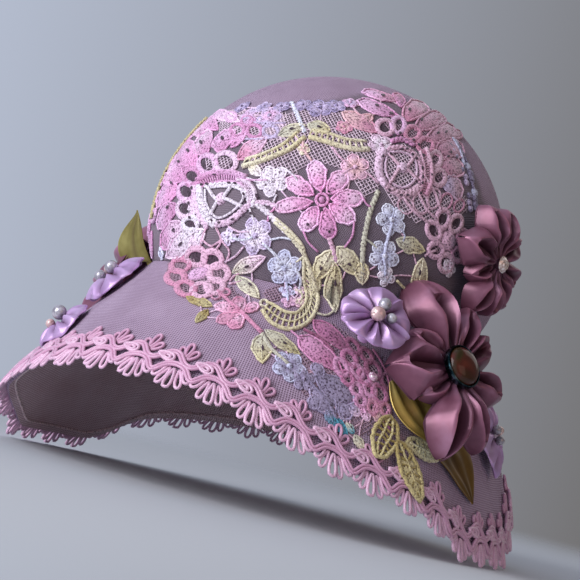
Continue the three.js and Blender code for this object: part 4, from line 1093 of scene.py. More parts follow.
CORDS = [
    ("white", 1, (207, 186), (221, 200), (233, 186)), ("white", 1, (243, 207), (221, 200), (210, 217)),
    ("white", 0.7, (206, 190), (207, 203), (213, 214), (218, 218), (230, 214), (239, 206), (244, 198),
        (242, 191), (236, 188), (224, 187), (212, 188)),
    ("blush", 0.7, (386, 157), (385, 170), (390, 182), (401, 188), (412, 183), (416, 171), (413, 159),
        (403, 153), (391, 153)), ("dusk", 0.9, (388, 154), (402, 168), (415, 156)),
    ("dusk", 0.9, (389, 184), (402, 168), (418, 181)), ("sky", 0.8, (263, 243), (274, 253), (283, 265)),
    ("blue", 1, (391, 224), (387, 240), (384, 256), (385, 275)), ("sky", 0.8, (231, 238), (244, 240), (254, 237)),
    ("blue", 0.8, (286, 275), (287, 290), (288, 303)), ("sky", 0.7, (296, 268), (301, 280), (299, 291)),
    ("cream", 0.7, (299, 291), (302, 297), (299, 303)), ("rose", 1.2, (241, 312), (250, 322), (262, 334)),
    ("rose", 1, (218, 292), (229, 302), (240, 311)), ("sage", 1, (262, 334), (268, 346), (280, 358), (288, 365)),
    ("blue", 0.9, (451, 139), (458, 151), (463, 166)), ("wine", 0.9, (303, 330), (318, 338), (333, 352)),
    ("slate", 0.9, (300, 374), (314, 388), (326, 402), (336, 420)),
    ("candy", 0.7, (246, 180), (258, 181), (268, 181)), ("shell", 0.7, (341, 175), (350, 170), (356, 167)),
    ("peach", 0.7, (303, 142), (304, 150), (312, 162)), ("dusk", 0.9, (424, 178), (432, 190), (440, 212)),
    ("dusk", 0.9, (400, 194), (410, 208), (428, 224)), ("dusk", 0.8, (416, 190), (426, 210), (436, 220)),
    ("shell", 0.7, (207, 228), (203, 240), (200, 252)), ("shell", 0.7, (217, 228), (222, 240), (215, 253)),
    ("shell", 0.6, (203, 240), (212, 246), (222, 240)), ("shell", 0.6, (222, 240), (230, 252), (227, 262)),
    ("blush", 0.6, (229, 227), (240, 232), (250, 232)), ("white", 0.6, (250, 209), (254, 220), (257, 230)),
    ("blush", 0.6, (245, 246), (236, 256), (226, 262)), ("sky", 0.6, (270, 240), (284, 238), (292, 240)),
    ("cream", 0.6, (304, 256), (296, 262), (290, 264)), ("pink", 0.6, (303, 231), (309, 243), (318, 252)),
    ("pink", 0.6, (354, 221), (352, 236), (344, 248)), ("pink", 0.6, (362, 198), (368, 206), (372, 208)),
    ("hot", 0.6, (276, 208), (270, 214), (268, 222)), ("sage", 0.6, (364, 238), (372, 244), (380, 252)),
    ("blue", 0.6, (398, 226), (404, 236), (402, 242)), ("shell", 0.6, (230, 282), (236, 276), (240, 274)),
    ("shell", 0.6, (229, 285), (236, 284), (242, 282)), ("cream", 0.6, (316, 278), (312, 284), (316, 292)),
    ("cream", 0.6, (334, 311), (326, 316), (316, 314)), ("plum", 0.6, (290, 331), (296, 336), (302, 341)),
    ("hay", 0.7, (413, 294), (404, 288), (396, 280)), ("dusk", 0.7, (424, 256), (430, 252), (436, 250)),
    ("mauve", 0.8, (386, 412), (387, 422), (389, 432)),
    ("wine", 0.7, (372, 350), (380, 362), (386, 376), (390, 392)),
    ("white", 0.6, (262, 184), (252, 180), (246, 178)), ("white", 0.6, (277, 195), (272, 204), (266, 205)),
    ("white", 0.6, (286, 170), (294, 176), (298, 182)), ("shell", 0.6, (364, 172), (372, 178), (378, 184)),
    ("shell", 0.6, (347, 164), (340, 158), (332, 148)), ("olive", 0.8, (162, 180), (156, 198), (154, 214)),
    ("lilac", 0.6, (244, 120), (258, 124), (272, 124), (286, 124)),
    ("lilac", 0.6, (246, 140), (262, 140), (278, 138)),
]
for tint, radius, *pixels in CORDS:
    angle, down = smooth_line(pixels)
    work_at((angle.mean(), down.mean())).cord(angle, down, radius, TINTS[tint], 0.4 + 0.5 * radius)
EDGE_KNOTS = [
    (455, 143), (461, 154), (467, 167), (471, 180), (474, 193), (475, 206), (458, 148), (470, 174), (474, 200),
]
for x, y in EDGE_KNOTS:
    lace_crown.knot(spot(x, y), 2.6, 1.5, TINTS["blue" if y % 2 else "slate"])
    lace_crown.knot(spot(x - 5, y + 3), 2.0, 1.3, TINTS["slate" if y % 2 else "lilac"])
print(len(BANDS), "bands and", len(CORDS), "cords, stems and bars")

# %% [markdown]
# Round the wearer's right, where the picture doesn't reach, the rosette's fan goes on plainly for a few more
# petals and rings.

# %% The lace's hidden side
HIDDEN_PETALS = [
    (-46, 118, -8, -10, 8), (-51, 124, -11, -5, 8), (-53, 133, -12, 0, 8), (-53, 142, -12, 4, 8),
    (-52, 151, -12, 8, 8), (-49, 160, -10, 12, 8), (-44, 168, -8, 14, 8), (-58, 130, -9, -3, 7),
    (-59, 141, -9, 1, 7), (-58, 152, -9, 6, 7),
]
HIDDEN_RINGS = ((-47, 128), (-48, 139), (-47, 150), (-43, 160), (-53, 165), (-57, 160))
RING_SIZE = 7
for angle, down, east, south, width in HIDDEN_PETALS:
    lace_crown.petal((angle, down), beside(angle, down, east, south), width, TINTS["pink"], TINTS["candy"])
for place in HIDDEN_RINGS:
    lace_crown.cord(*beside(*place, *oval(RING_SIZE, RING_SIZE)), 1.0, TINTS["candy"], 0.8, closed=True)
print(len(HIDDEN_PETALS), "petals round the side")

# %% [markdown]
# The motifs of guipure hang together by thin bars. Each motif is joined to its nearest neighbours.

# %% Bars between the motifs
anchors = [spot((row[0] + row[2]) / 2, (row[1] + row[3]) / 2) for row in LACE_PETALS]
anchors = np.array(anchors + [spot(row[0], row[1]) for row in SMALL_FLOWERS])
anchor_points = on_hat(*anchors.T)
BAR_SHORTEST, BAR_LONGEST, BARS_EACH = 7.0, 18.0, 3
BAR_RADIUS, BAR_SWAY, DUSTY_FROM = 0.45, 1.1, 30
joined_pairs = set()
for k in range(len(anchors)):
    away = np.linalg.norm(anchor_points - anchor_points[k], axis=1)
    for j in [j for j in np.argsort(away) if BAR_SHORTEST < away[j] < BAR_LONGEST][:BARS_EACH]:
        joined_pairs.add((min(k, j), max(k, j)))
for k, j in sorted(joined_pairs):
    share = np.linspace(0, 1, 5)
    sway = BAR_SWAY * np.sin(math.pi * share) * (1 if (k + j) % 2 else -1)
    line = anchors[k][:, None] + (anchors[j] - anchors[k])[:, None] * share
    tint = TINTS["dusk" if anchors[k, 0] > DUSTY_FROM else "blush"]
    work_at(anchors[k]).cord(*beside(*line, sway, 0.6 * sway), BAR_RADIUS, tint, BAR_RADIUS)
print(len(joined_pairs), "bars")
wear(lace_crown.piece("lace_crown", cotton), "lace", "lace")
wear(lace_brim.piece("lace_brim", cotton), "lace")

# %% [markdown]
# Behind the daisy, in the windows and under the rosettes there is a fine cotton net. Its threads are thin
# enough to be four-sided, and they run aslant, as the lace was sewn on across its net.


# %% The net
def inside(corner_angle, corner_down, angle, down):
    """Which chart places lie within an outline."""
    within = np.zeros(angle.shape, bool)
    for k in range(len(corner_angle)):
        a0, d0, a1, d1 = corner_angle[k - 1], corner_down[k - 1], corner_angle[k], corner_down[k]
        crosses = (d0 > down) != (d1 > down)
        within ^= crosses & (angle < (a1 - a0) * (down - d0) / np.where(d1 == d0, 1e-9, d1 - d0) + a0)
    return within


NET_PITCH, NET_THREAD, NET_LIFT = 1.8, 0.29, 0.35
NET_PATCHES = [
    ("net", (262, 124), (300, 110), (345, 112), (372, 124), (384, 150), (380, 190), (366, 200), (345, 172),
        (318, 162), (290, 178), (262, 172), (246, 160)),
    ("net", (384, 150), (402, 142), (424, 158), (430, 190), (466, 196), (468, 214), (440, 216), (416, 226),
        (392, 206), (380, 188)), ("net", (205, 158), (232, 156), (232, 170), (205, 172)),
    ("dark_net", (262, 290), (284, 284), (284, 302), (266, 304)),
    ("dark_net", (206, 292), (232, 286), (246, 300), (226, 306)),
    ("dark_net", (284, 316), (304, 308), (304, 318), (290, 320)),
    ("dark_net", (380, 120), (428, 130), (446, 172), (440, 190), (430, 168), (414, 144), (392, 134)),
    ("dark_net", (300, 330), (330, 320), (372, 352), (392, 392), (388, 428), (352, 440), (322, 416), (296, 386)),
    ("dark_net", (436, 222), (462, 226), (466, 250), (450, 268), (430, 250)),
    ("net", (222, 112), (288, 112), (288, 142), (222, 142)),
    ("dark_net", (168, 262), (190, 258), (230, 268), (226, 296), (176, 294)),
]
net_work = ThreadWork(13)
for tint, *pixels in NET_PATCHES:
    corner_angle, corner_down = spots(pixels)
    radius = math.hypot(*on_hat(corner_angle.mean(), corner_down.mean())[:2])
    reach = np.hypot(np.ptp(corner_down), math.radians(np.ptp(corner_angle)) * radius) / 2 + NET_PITCH
    one, other = np.meshgrid(*[np.arange(-reach, reach, NET_PITCH)] * 2, indexing="ij")
    grid_angle = (corner_angle.min() + corner_angle.max()) / 2 + np.degrees((one - other) / math.sqrt(2) / radius)
    grid_down = (corner_down.min() + corner_down.max()) / 2 + (one + other) / math.sqrt(2)
    kept = inside(corner_angle, corner_down, grid_angle, grid_down)
    for table_angle, table_down, table_kept in ((grid_angle, grid_down, kept), (grid_angle.T, grid_down.T, kept.T)):
        for a, d, on in zip(table_angle, table_down, table_kept):
            edges = np.flatnonzero(np.diff(np.concatenate([[0], on.astype(int), [0]])))
            for first, last in zip(edges[::2], edges[1::2]):
                if last - first > 2:
                    net_work.cord(a[first:last], d[first:last], NET_THREAD, TINTS[tint], NET_LIFT, 4)
wear(net_work.piece("lace_net", cotton), "lace")


# %% [markdown]
# The edge is trimmed with a scroll braid: satin cord, bent into fans of loops and couched down by two
# double cords that wind along it. One repeat is drawn flat, along the edge and down from it, and then
# laid round the rim as often as it goes. A rope of six sides is enough for a cord this thin.

# %% The scroll braid
BRAID_REPEATS, PITCH = 42, 21.8
CORD = 0.86
# One cord in two painted lights: lit, lighter, for the lower loops and the eye, and low, in painted shade, for the
# upper loops and the strands.
BRAID_TINTS = {"lit": tone_of(230, 188, 214), "low": tone_of(214, 164, 194)}
LOOP_COLUMNS = ("along", "down", "lean", "length", "width", "lift")
LOWER_LOOPS = [
    (-4.6, -3.0, -34, 8.6, 3.5, 1.6), (-2.4, -2.4, -16, 10.2, 3.6, 1.0), (0.2, -2.0, 1, 12.0, 4.2, 1.8),
    (2.8, -2.4, 18, 10.2, 3.6, 1.0), (5.0, -3.0, 36, 8.8, 3.5, 1.6),
]
UPPER_LOOPS = [(0.2, -9.6, 208, 7.2, 3.6, 0.9), (1.4, -10.0, 176, 9.0, 3.9, 1.3), (2.8, -9.4, 142, 7.4, 3.6, 0.9)]
LOWER_STRAND = [
    (-10.9, 2.8), (-9.2, 1.6), (-7.4, -1.6), (-4.6, -3.8), (0, -4.8), (4.6, -4.2), (7.6, -1.8), (9.4, 1.4),
]
UPPER_STRAND = [(-10.9, -6.4), (-7.6, -10.2), (-3.6, -11.6), (-0.4, -10.2), (1.8, -7.0), (4.8, -4.8), (8.0, -4.6)]
STRAND_STEPS, STRAND_APART = 16, 0.75
EYE = {"along": -7.6, "down": -7.2, "lean": 80.0, "length": 9.6, "width": 5.2}
TIP_GAP = 0.6


def laid(along, down, lift, radius, tint, repeat):
    """A closed cord drawn on the flat repeat, along the edge and down from it, laid on the rim."""
    angle = (repeat + np.asarray(along) / PITCH) * 360 / BRAID_REPEATS
    braid_work.cord(angle, hat_end(angle) - LOOP_DROP + np.asarray(down), radius, tint, lift, closed=True)


def loop_line(along, down, lean, length, width, count=14):
    """A teardrop loop on the flat repeat, from its foot out to its round head and back."""
    t = 2 * math.pi * (np.arange(count) + 0.5) / count
    reach = length * (1 - np.cos(t)) / 2
    aside = width / 2 * np.sin(t) * (0.35 + 0.65 * (1 - np.cos(t)) / 2) * 1.15
    way = math.radians(lean)
    return along + reach * math.sin(way) + aside * math.cos(way), down + reach * math.cos(way) - aside * math.sin(way)


def strand_line(table, offset, count):
    """A wave on the flat repeat through its table, moved aside by an offset."""
    keys, values = (np.array(column) for column in zip(*table))
    at = keys[0] + PITCH * np.arange(count) / count
    wide = np.concatenate([keys - PITCH, keys, keys + PITCH, keys[:1] + 2 * PITCH])
    height = np.interp(at, wide, np.concatenate([values, values, values, values[:1]]))
    for _ in range(2):
        height = (np.roll(height, 1) + 2 * height + np.roll(height, -1)) / 4
    slope = (np.roll(height, -1) - np.roll(height, 1)) / (2 * PITCH / count)
    size = np.hypot(1, slope)
    return at - slope / size * offset, height + offset / size


braid_work = ThreadWork(21)
wiggle = np.random.default_rng(22)
for repeat in range(BRAID_REPEATS):
    for rows, tint in ((LOWER_LOOPS, "lit"), (UPPER_LOOPS, "low")):
        for loop in rows_of(LOOP_COLUMNS, rows):
            lean, length = loop["lean"] + wiggle.uniform(-5, 5), loop["length"] * wiggle.uniform(0.92, 1.04)
            along, down = loop_line(loop["along"], loop["down"], lean, length, loop["width"])
            tone = np.array(BRAID_TINTS[tint]) * wiggle.uniform(0.92, 1.06)
            laid(along, np.minimum(down, LOOP_DROP - TIP_GAP), loop["lift"], CORD, tone, repeat)
    for scale, lift in ((1.0, 2.6), (0.5, 2.4)):
        along, down = loop_line(EYE["along"] - EYE["length"] / 2 * scale, EYE["down"] - 1.2 * scale, EYE["lean"],
                                EYE["length"] * scale, EYE["width"] * scale)
        laid(along, down, lift, CORD, BRAID_TINTS["lit"], repeat)
starts = PITCH * np.arange(BRAID_REPEATS)[:, None]
for table, lift in ((LOWER_STRAND, 2.3), (UPPER_STRAND, 2.5)):
    for offset in (-STRAND_APART, STRAND_APART):
        along, down = strand_line(table, offset, STRAND_STEPS)
        laid((starts + along).ravel(), np.tile(down, BRAID_REPEATS), lift, CORD * 1.05, BRAID_TINTS["low"], 0)
print(BRAID_REPEATS, "repeats of", len(LOWER_LOOPS), "lower and", len(UPPER_LOOPS), "upper loops")

# %% [markdown]
# Satin cord is wrapped with silk, so it shines along its length and has a fine thread across it.

# %% The braid's finish
braid_satin, tree, shader = plain_shader("satin_cord", Roughness=0.3, Sheen_Weight=0.3, Sheen_Roughness=0.35,
                                         Specular_IOR_Level=0.55)
silk = noise_of(tree, 1800.0, 2.0)
soft = ramp_of(tree, silk, [(0.3, (0.82, 0.8, 0.82)), (0.7, (1.1, 1.1, 1.1))])
dress(tree, shader, mixed(tree, 1.0, attribute_of(tree, "tint")["Color"], soft), silk, Strength=0.25, Distance=0.0002)
wear(braid_work.piece("scroll_braid", braid_satin), "braid", "edge_braid")

# %% [markdown]
# Inside, a little way in from the edge, a line of thick thread holds down the turned hem of the straw.

# %% The hem
HEM = {"in_from_edge": 4.5, "radius": 0.8, "sunk": 0.55}
hem_angle = np.arange(0, 360, 2.0)
hem_work = ThreadWork(23)
hem_work.cord(hem_angle, hat_end(hem_angle) - LOOP_DROP - HEM["in_from_edge"], HEM["radius"], tone_of(226, 200, 202),
              -STRAW - HEM["sunk"], closed=True)
wear(hem_work.piece("hem_line", cotton), "straw")


# %% [markdown]
# The flowers are satin ribbon. Satin is smooth and throws a broad, bright light along each fold, also painted
# on as a highlight, and the ground between the folds is painted deep in shade. A fine thread runs along the
# ribbon, seen only close up.


# %% Satin
FLAT_FOLD = 0.12


def satin_finish(name, deep, middle, bright, roughness=0.36):
    """Satin ribbon, with painted shade deep in its folds and a painted highlight where its edges and ridges rise."""
    deep, middle, bright = (tone_of(*tone) for tone in (deep, middle, bright))
    material, tree, shader = plain_shader(
        name, Roughness=roughness, Sheen_Weight=0.25, Sheen_Roughness=0.3, Sheen_Tint=(*bright, 1.0),
        Specular_IOR_Level=0.5, Metallic=0.35)
    cloud = noise_of(tree, 55.0, 3.0, Roughness=0.55)
    tone = ramp_of(tree, cloud, [(0.3, deep), (0.52, middle), (0.78, bright)])
    # Painted highlight where the fold value is below a flat place, painted shade above it, deepest in the folds.
    shade = ramp_of(tree, attribute_of(tree, "fold")["Fac"], [
        (0.0, (1.5, 1.5, 1.5)), (FLAT_FOLD, (1.0, 1.0, 1.0)), (0.55, (0.5, 0.42, 0.46)), (1.0, (0.12, 0.08, 0.1))])
    dress(tree, shader, mixed(tree, 1.0, tone, shade), noise_of(tree, 3200.0, 1.0), Strength=0.12, Distance=0.0001)
    return material


rose_satin = satin_finish("rose_satin", (126, 78, 98), (148, 96, 118), (176, 128, 154))
lilac_satin = satin_finish("lilac_satin", (174, 138, 186), (194, 160, 206), (216, 190, 226))
olive_satin = satin_finish("olive_ribbon", (164, 138, 68), (190, 164, 88), (218, 200, 134), 0.42)
moss_satin = satin_finish("moss_ribbon", (100, 90, 44), (124, 114, 58), (154, 146, 88), 0.42)
tail_satin = satin_finish("dark_olive_ribbon", (90, 64, 18), (116, 86, 28), (144, 114, 48), 0.45)
print("five satins")

# %% [markdown]
# A flower stands on the hat where its solid does. Its own frame has east and south along the hat and out
# away from it, and it bends with the crown.

# %% Where the flowers stand
FLOWER_COLUMNS = ("name", "angle", "facing", "down", "stand", "foot", "radius", "sag")
FLOWERS = {flower["name"]: flower for flower in rows_of(FLOWER_COLUMNS, (
    ("lilac_flower", 47.5, 38, 205, 22.5, 4, 18.5, 0.4), ("rose_flower", 69, 64, 215, 22, 0.7, 44, 6),
    ("upper_rose_flower", 82.5, 84, 139, 13.5, 3.6, 28, 4), ("violet_flower", 98, 104, 233, 6, 0.8, 20, 1.5),
    ("side_lilac_flower", -45, -48, 207, 6.5, 0.8, 19, 3.6), ("side_rose_flower", -82, -84, 200, 19, 1.5, 40, 5),
    ("low_lilac_flower", -37, -42, 245, 4.5, 0.8, 16, 3.0),
))}
HUB_RADIUS, HUB_FOOT, HUB_SUNK = 5.0, 3.0, 0.8
HUB_SIDES, HUB_RINGS = 12, 4
RIBBON, RIBBON_SMOOTH = 0.45, math.radians(60)


def flower_frame(flower):
    """The middle of a flower and its ways east, south and out."""
    east, south, out = hat_frame(flower["facing"], flower["down"], flower["radius"] * 0.9)
    return on_hat(flower["angle"], flower["down"]) + out * flower["stand"], east, south, out


def on_flower(flower, east, south, lift):
    """Points on a flower, bent with the crown and sagging toward its edge."""
    middle, to_east, to_south, out = flower_frame(flower)
    share = np.hypot(east, south) / flower["radius"]
    lift = lift - east * east / (2 * HEAD_LINE["y"]) - flower["sag"] * np.minimum(share, 1.3) ** 3
    return middle + east[:, None] * to_east + south[:, None] * to_south + lift[:, None] * out


def cut_grid(columns, rows):
    """A flat grid of ribbon, with its corners' places across and along from 0 to 1."""
    bpy.ops.object.select_all(action="DESELECT")
    bpy.ops.mesh.primitive_grid_add(x_subdivisions=columns, y_subdivisions=rows, size=1.0)
    places = corners_raw(bpy.context.object) + 0.5
    return bpy.context.object, places[:, 0], places[:, 1]


def sewn(name, parts, material, slot, node):
    """Joins the parts of a ribbon piece, gives them the ribbon's thickness and puts them on."""
    bpy.ops.object.select_all(action="DESELECT")
    for part in parts:
        part.select_set(True)
    bpy.context.view_layer.objects.active = parts[0]
    if len(parts) > 1:
        bpy.ops.object.join()
    made = bpy.context.view_layer.objects.active
    made.name = name
    made.data.materials.clear()
    made.data.materials.append(material)
    apply_modifier(made, "SOLIDIFY", thickness=RIBBON * MM, offset=0, use_rim=True)
    bpy.ops.object.shade_smooth_by_angle(angle=RIBBON_SMOOTH)
    wear(made, slot, node)


def hub(flower):
    """The gathered neck of ribbon that holds a flower to the hat."""
    tube, around, along = open_tube(HUB_SIDES, HUB_RINGS)
    radius = HUB_RADIUS + (HUB_FOOT - HUB_RADIUS) * along
    lowest = flower["foot"] - flower["stand"]
    lift = np.maximum(lowest * along - HUB_SUNK, lowest)
    move_corners(tube, on_flower(flower, radius * np.cos(around), radius * np.sin(around), lift))
    return tube


# %% [markdown]
# The lilac flowers are rosettes: a ribbon circle gathered on a thread into a small hole, so that pleats run
# out from the middle, some to the edge and some only part of the way, and the edge rolls under. They start
# as an open tube, whose top end is the hole and whose other end is the rolled edge.


# %% The lilac rosettes
def paint_fold_shade_and_highlight(obj, fold, edge=0.0):
    """Keeps each corner's fold depth as painted shade and its nearness to an edge as painted highlight, for the
    satin.
    """
    keep_at_corners(obj, "fold", np.clip(FLAT_FOLD + (1 - FLAT_FOLD) * fold - FLAT_FOLD * edge, 0, 1))


ROSETTE_PLEATS, PLEAT_SIDES, ROSETTE_RINGS, ROSETTE_HOLE, FACE_PART = 10, 16, 28, 1.8, 0.78


def rosette(name, height, tip, seed):
    """A gathered ribbon rosette on its flower's place, drawn out to a point at one side."""
    flower = FLOWERS[name]
    chance = np.random.default_rng(seed)
    pleats = ROSETTE_PLEATS
    tube, around, along = open_tube(pleats * PLEAT_SIDES, ROSETTE_RINGS)
    edges = np.sort((np.arange(pleats) + chance.uniform(-0.34, 0.34, pleats)) / pleats) * 2 * math.pi
    spread = (around - edges[0]) % (2 * math.pi)
    starts = (edges - edges[0]) % (2 * math.pi)
    lobe = np.clip(np.searchsorted(starts, spread, side="right") - 1, 0, pleats - 1)
    width = np.diff(np.append(starts, 2 * math.pi))
    phase = np.clip((spread - starts[lobe]) / width[lobe], 0, 1)
    lean = chance.uniform(0.3, 0.7, pleats)[lobe]
    ridge = np.where(phase < lean, phase / lean, (1 - phase) / (1 - lean)) ** 0.85
    length = chance.uniform(0.55, 1.0, pleats)[lobe]
    face = np.clip(along / FACE_PART, 0, 1)
    under = np.clip((along - FACE_PART) / (1 - FACE_PART), 0, 1)
    apart = np.angle(np.exp(1j * (around - math.radians(tip))))
    reach = flower["radius"] * (0.98 + 0.04 * np.sin(3 * around + seed) - 0.07 * (1 - ridge) ** 1.5
                                + 0.1 * np.exp(-((apart / 0.22) ** 2)))
    radius = ROSETTE_HOLE + (reach - ROSETTE_HOLE) * np.sin(face * math.pi / 2) ** 0.92
    radius -= 0.3 * flower["radius"] * under ** 1.3
    depth = np.clip(1.25 - face / length, 0.1, 1)
    lift = height * 0.5 * np.sin(math.pi * face ** 0.75) ** 0.8
    lift += height * depth * np.clip(face * 4, 0, 1) * (ridge - 0.6)
    lift += 0.9 * face ** 3 * np.sin(4 * around + 2 * seed) - 1.0 * (1 - face) ** 2 - under * (1.4 + 0.8 * ridge)
    around = around + 0.04 * np.sin(2 * math.pi * phase) * face
    move_corners(tube, on_flower(flower, radius * np.cos(around), radius * np.sin(around), lift))
    # Painted shade in the creases between pleats, round the hole and under the rolled edge, and a painted highlight
    # along the edge.
    hollow = 0.8 * depth * np.clip(1 - 1.5 * ridge, 0, 1) + 0.45 * np.clip(1 - 5 * face, 0, 1) + 0.3 * under
    paint_fold_shade_and_highlight(tube, hollow, np.exp(-(((along - 0.76) / 0.06) ** 2)))
    face_out(tube)
    sewn("ribbon_" + name, [tube, hub(flower)], lilac_satin, "lilac_satin", name)


ROSETTE_COLUMNS = ("name", "height", "tip", "seed")
for row in rows_of(ROSETTE_COLUMNS, (("lilac_flower", 4.8, 200, 31), ("side_lilac_flower", 4.4, 190, 32),
                                     ("low_lilac_flower", 4.0, 180, 33), ("violet_flower", 4.2, 90, 34))):
    rosette(**row)

# %% [markdown]
# The rose flowers are loops of wide ribbon, each caught at the middle: the ribbon runs out, turns over at the
# tip in a soft roll and comes back underneath. Being gathered, each loop has a deep crease that starts at the
# middle and opens out into a smooth puff. Each loop starts as a flat grid, as the cut ribbon does.


# %% The rose flowers
LOOP_CUTS = 40
RIDGE_AT, BROADEST_AT, ROLL_AT = 0.46, 0.64, 0.66
LOOP_FOOT, LOOP_RISE = 3.0, 8.0


def ribbon_loop(flower, seed, way, reach, width, puff, crease, bend, base, mouth, point):
    """One loop of ribbon, out over the top and back underneath, pinched to two sharp folds along a hollow."""
    chance = np.random.default_rng(seed)
    cloth, run, across = cut_grid(LOOP_CUTS, LOOP_CUTS)
    side = 2 * across - 1
    turn = 1.8 * math.pi * run
    part = (1 - np.cos(turn)) / 2
    top = turn <= math.pi
    past = np.clip((part - BROADEST_AT) / (1 - BROADEST_AT), 0, 1)
    end = (1 - point) * np.sqrt(1 - past ** 2) + point * (1 - past)
    start = 0.14 + 0.86 * (part / BROADEST_AT) ** 0.9
    half = width / 2 * np.where(part < BROADEST_AT, start, np.maximum(end, 0.07))
    out = LOOP_FOOT + (reach - LOOP_FOOT) * part
    rise = np.clip((out - LOOP_RISE) / (0.56 * reach - LOOP_RISE), 0, 1)
    rise = rise * rise * (3 - 2 * rise)
    roll = np.sqrt(np.clip(1 - np.clip((part - ROLL_AT) / (1 - ROLL_AT), 0, 1) ** 2, 0, 1))
    fold = side - bend * part
    apart = np.abs(fold)
    slope_out = np.clip((apart - RIDGE_AT) / (1 - RIDGE_AT), 0, 1)
    slope_in = np.clip(1 - apart / RIDGE_AT, 0, 1)
    opened = np.clip((part - 0.05) / 0.2, 0, 1) * np.sqrt(1 - np.clip((part - mouth) / 0.24, 0, 1) ** 2)
    lift = puff * rise * roll * (1 - slope_out ** 1.2) - 4.5 * rise * slope_out ** 1.6
    lift -= crease * opened * (0.2 + 0.8 * rise) * slope_in ** 0.85
    pleat = np.sin(11 * side + 2 * part + chance.uniform(0, 6)) * (1 - part) ** 0.8 * np.clip(part * 5, 0, 1)
    lift += 1.3 * pleat + 0.7 * np.sin(3.4 * side + 4 * part + chance.uniform(0, 6)) * rise * roll
    lift = np.where(top, lift, -0.25 * puff * np.abs(np.sin(turn)) - 4.0 * rise * slope_out)
    aside = side * half + 0.06 * width * part * chance.uniform(-1, 1)
    way = math.radians(way)
    east = out * math.cos(way) - aside * math.sin(way)
    south = out * math.sin(way) + aside * math.cos(way)
    move_corners(cloth, on_flower(flower, east, south, lift + base))
    # Painted shade in the hollow, on the steep sides, at the loop's foot and in the pleats' troughs, with a painted
    # highlight along the two folds; underneath, painted shade throughout.
    dark = opened * slope_in ** 0.8 + 0.45 * slope_out ** 2 + 0.35 * (1 - rise) + 0.35 * np.clip(-pleat, 0, 1)
    bright = 0.7 * rise * np.exp(-(((apart - RIDGE_AT) / 0.08) ** 2))
    paint_fold_shade_and_highlight(cloth, np.where(top, dark, 0.6), np.where(top, bright, 0))
    return cloth


def loop_flower(name, rows, seed):
    """A flower of ribbon loops. A row gives a loop's way, reach, width, puff, crease, bend, base, mouth and
    point."""
    flower = FLOWERS[name]
    loops = [ribbon_loop(flower, seed + k, *row) for k, row in enumerate(rows)]
    sewn("ribbon_" + name, loops + [hub(flower)], rose_satin, "rose_satin", name)


loop_flower("rose_flower", [
    (213, 30, 18, 4.5, 7, 0, -1.5, 0.6, 0.4), (137, 27, 18, 4, 7, 0, -1.5, 0.6, 0.4),
    (176, 37, 35, 8, 13, 0, 0.6, 0.6, 0.85), (250, 50, 27, 9, 12, 0.12, 0.2, 0.52, 0.35),
    (288, 41, 20, 7.5, 9, 0, 0.9, 0.6, 0.5), (322, 39, 22, 7.5, 9, -0.1, 0.1, 0.6, 0.6),
    (5, 39, 22, 7.5, 9, 0.1, 0.9, 0.6, 0.75), (62, 42, 22, 7.5, 10, -0.05, 0.1, 0.66, 0.55),
    (98, 47, 26, 8.5, 13, 0, 0.8, 0.76, 0.4),
], 41)
loop_flower("upper_rose_flower", [
    (152, 20, 13, 3.5, 5, 0, -1, 0.6, 0.4), (196, 27, 23, 6, 9, 0, 0.5, 0.6, 0.85),
    (247, 30, 16, 5.5, 7, 0.08, 0, 0.66, 0.4), (281, 30, 17, 5.5, 7, 0, 0.5, 0.66, 0.4),
    (322, 28, 18, 5.5, 7, 0.06, 0, 0.6, 0.5), (8, 28, 18, 5.5, 7, 0, 0.5, 0.6, 0.5),
    (48, 27, 17, 5.5, 7, 0.06, 0, 0.6, 0.5), (82, 27, 16, 5.5, 7, 0, 0.6, 0.66, 0.4),
    (112, 29, 17, 5.5, 8, 0, 0.1, 0.7, 0.4),
], 51)
loop_flower("side_rose_flower", [
    (8, 33, 24, 5.5, 9, 0, 0.5, 0.6, 0.6), (60, 35, 25, 6.5, 10, 0.08, 0, 0.6, 0.5),
    (111, 39, 27, 7.5, 10, -0.06, 0.6, 0.66, 0.6), (163, 38, 26, 7.5, 10, 0, 0, 0.6, 0.5),
    (214, 39, 27, 7.5, 10, 0.05, 0.6, 0.6, 0.6), (265, 38, 26, 7.5, 10, 0, 0, 0.6, 0.5),
    (317, 34, 24, 5.5, 9, -0.05, 0.7, 0.66, 0.6),
], 61)


# %% [markdown]
# The leaves are of two kinds. Those of olive ribbon are pieces folded along the middle, with a soft turn
# at the tip. Those of the sprig are lace again: a corded outline, a lattice of threads inside and a midrib.


# %% Ribbon leaves
LEAF_COLUMNS = ("name", "angle", "down", "east", "south", "width", "fold", "lift")
LEAVES = {leaf["name"]: leaf for leaf in rows_of(LEAF_COLUMNS, (
    ("ribbon_leaf", 56, 223, 24, 29, 15, 1.6, 3.1), ("ribbon_tail", 79, 244, 10, 28, 24, 1, 0.5),
    ("side_leaf", -68, 186, 4, -32, 16, 1.0, 1), ("sprig_leaf_a", 55.5, 244, -8, 23, 13, 0.4, 2.7),
    ("sprig_leaf_b", 57, 255, 14, 27, 10.5, 0.4, 3), ("sprig_leaf_c", 60, 252.5, 23, 2, 9, 0.4, 0.4),
))}
LEAF_COLUMNS_CUT, LEAF_ROWS_CUT = 26, 18


def leaf_half(part, width):
    """Half the width of a leaf at a part of its length."""
    return 0.5 * width * np.maximum(np.sin(math.pi * (0.06 + 0.9 * part)), 0.08) ** 0.8


def leaf_place(leaf, part, side):
    """Chart places on a leaf, by the part of its length and how far aside of its middle."""
    length = math.hypot(leaf["east"], leaf["south"])
    half = leaf_half(part, leaf["width"])
    return beside(leaf["angle"], leaf["down"], leaf["east"] * part - leaf["south"] / length * side * half,
                  leaf["south"] * part + leaf["east"] / length * side * half)


def on_leaf(leaf, part, side, lift):
    """Points on a leaf, a lift above it."""
    return on_hat(*leaf_place(leaf, part, side), leaf["lift"] + lift)


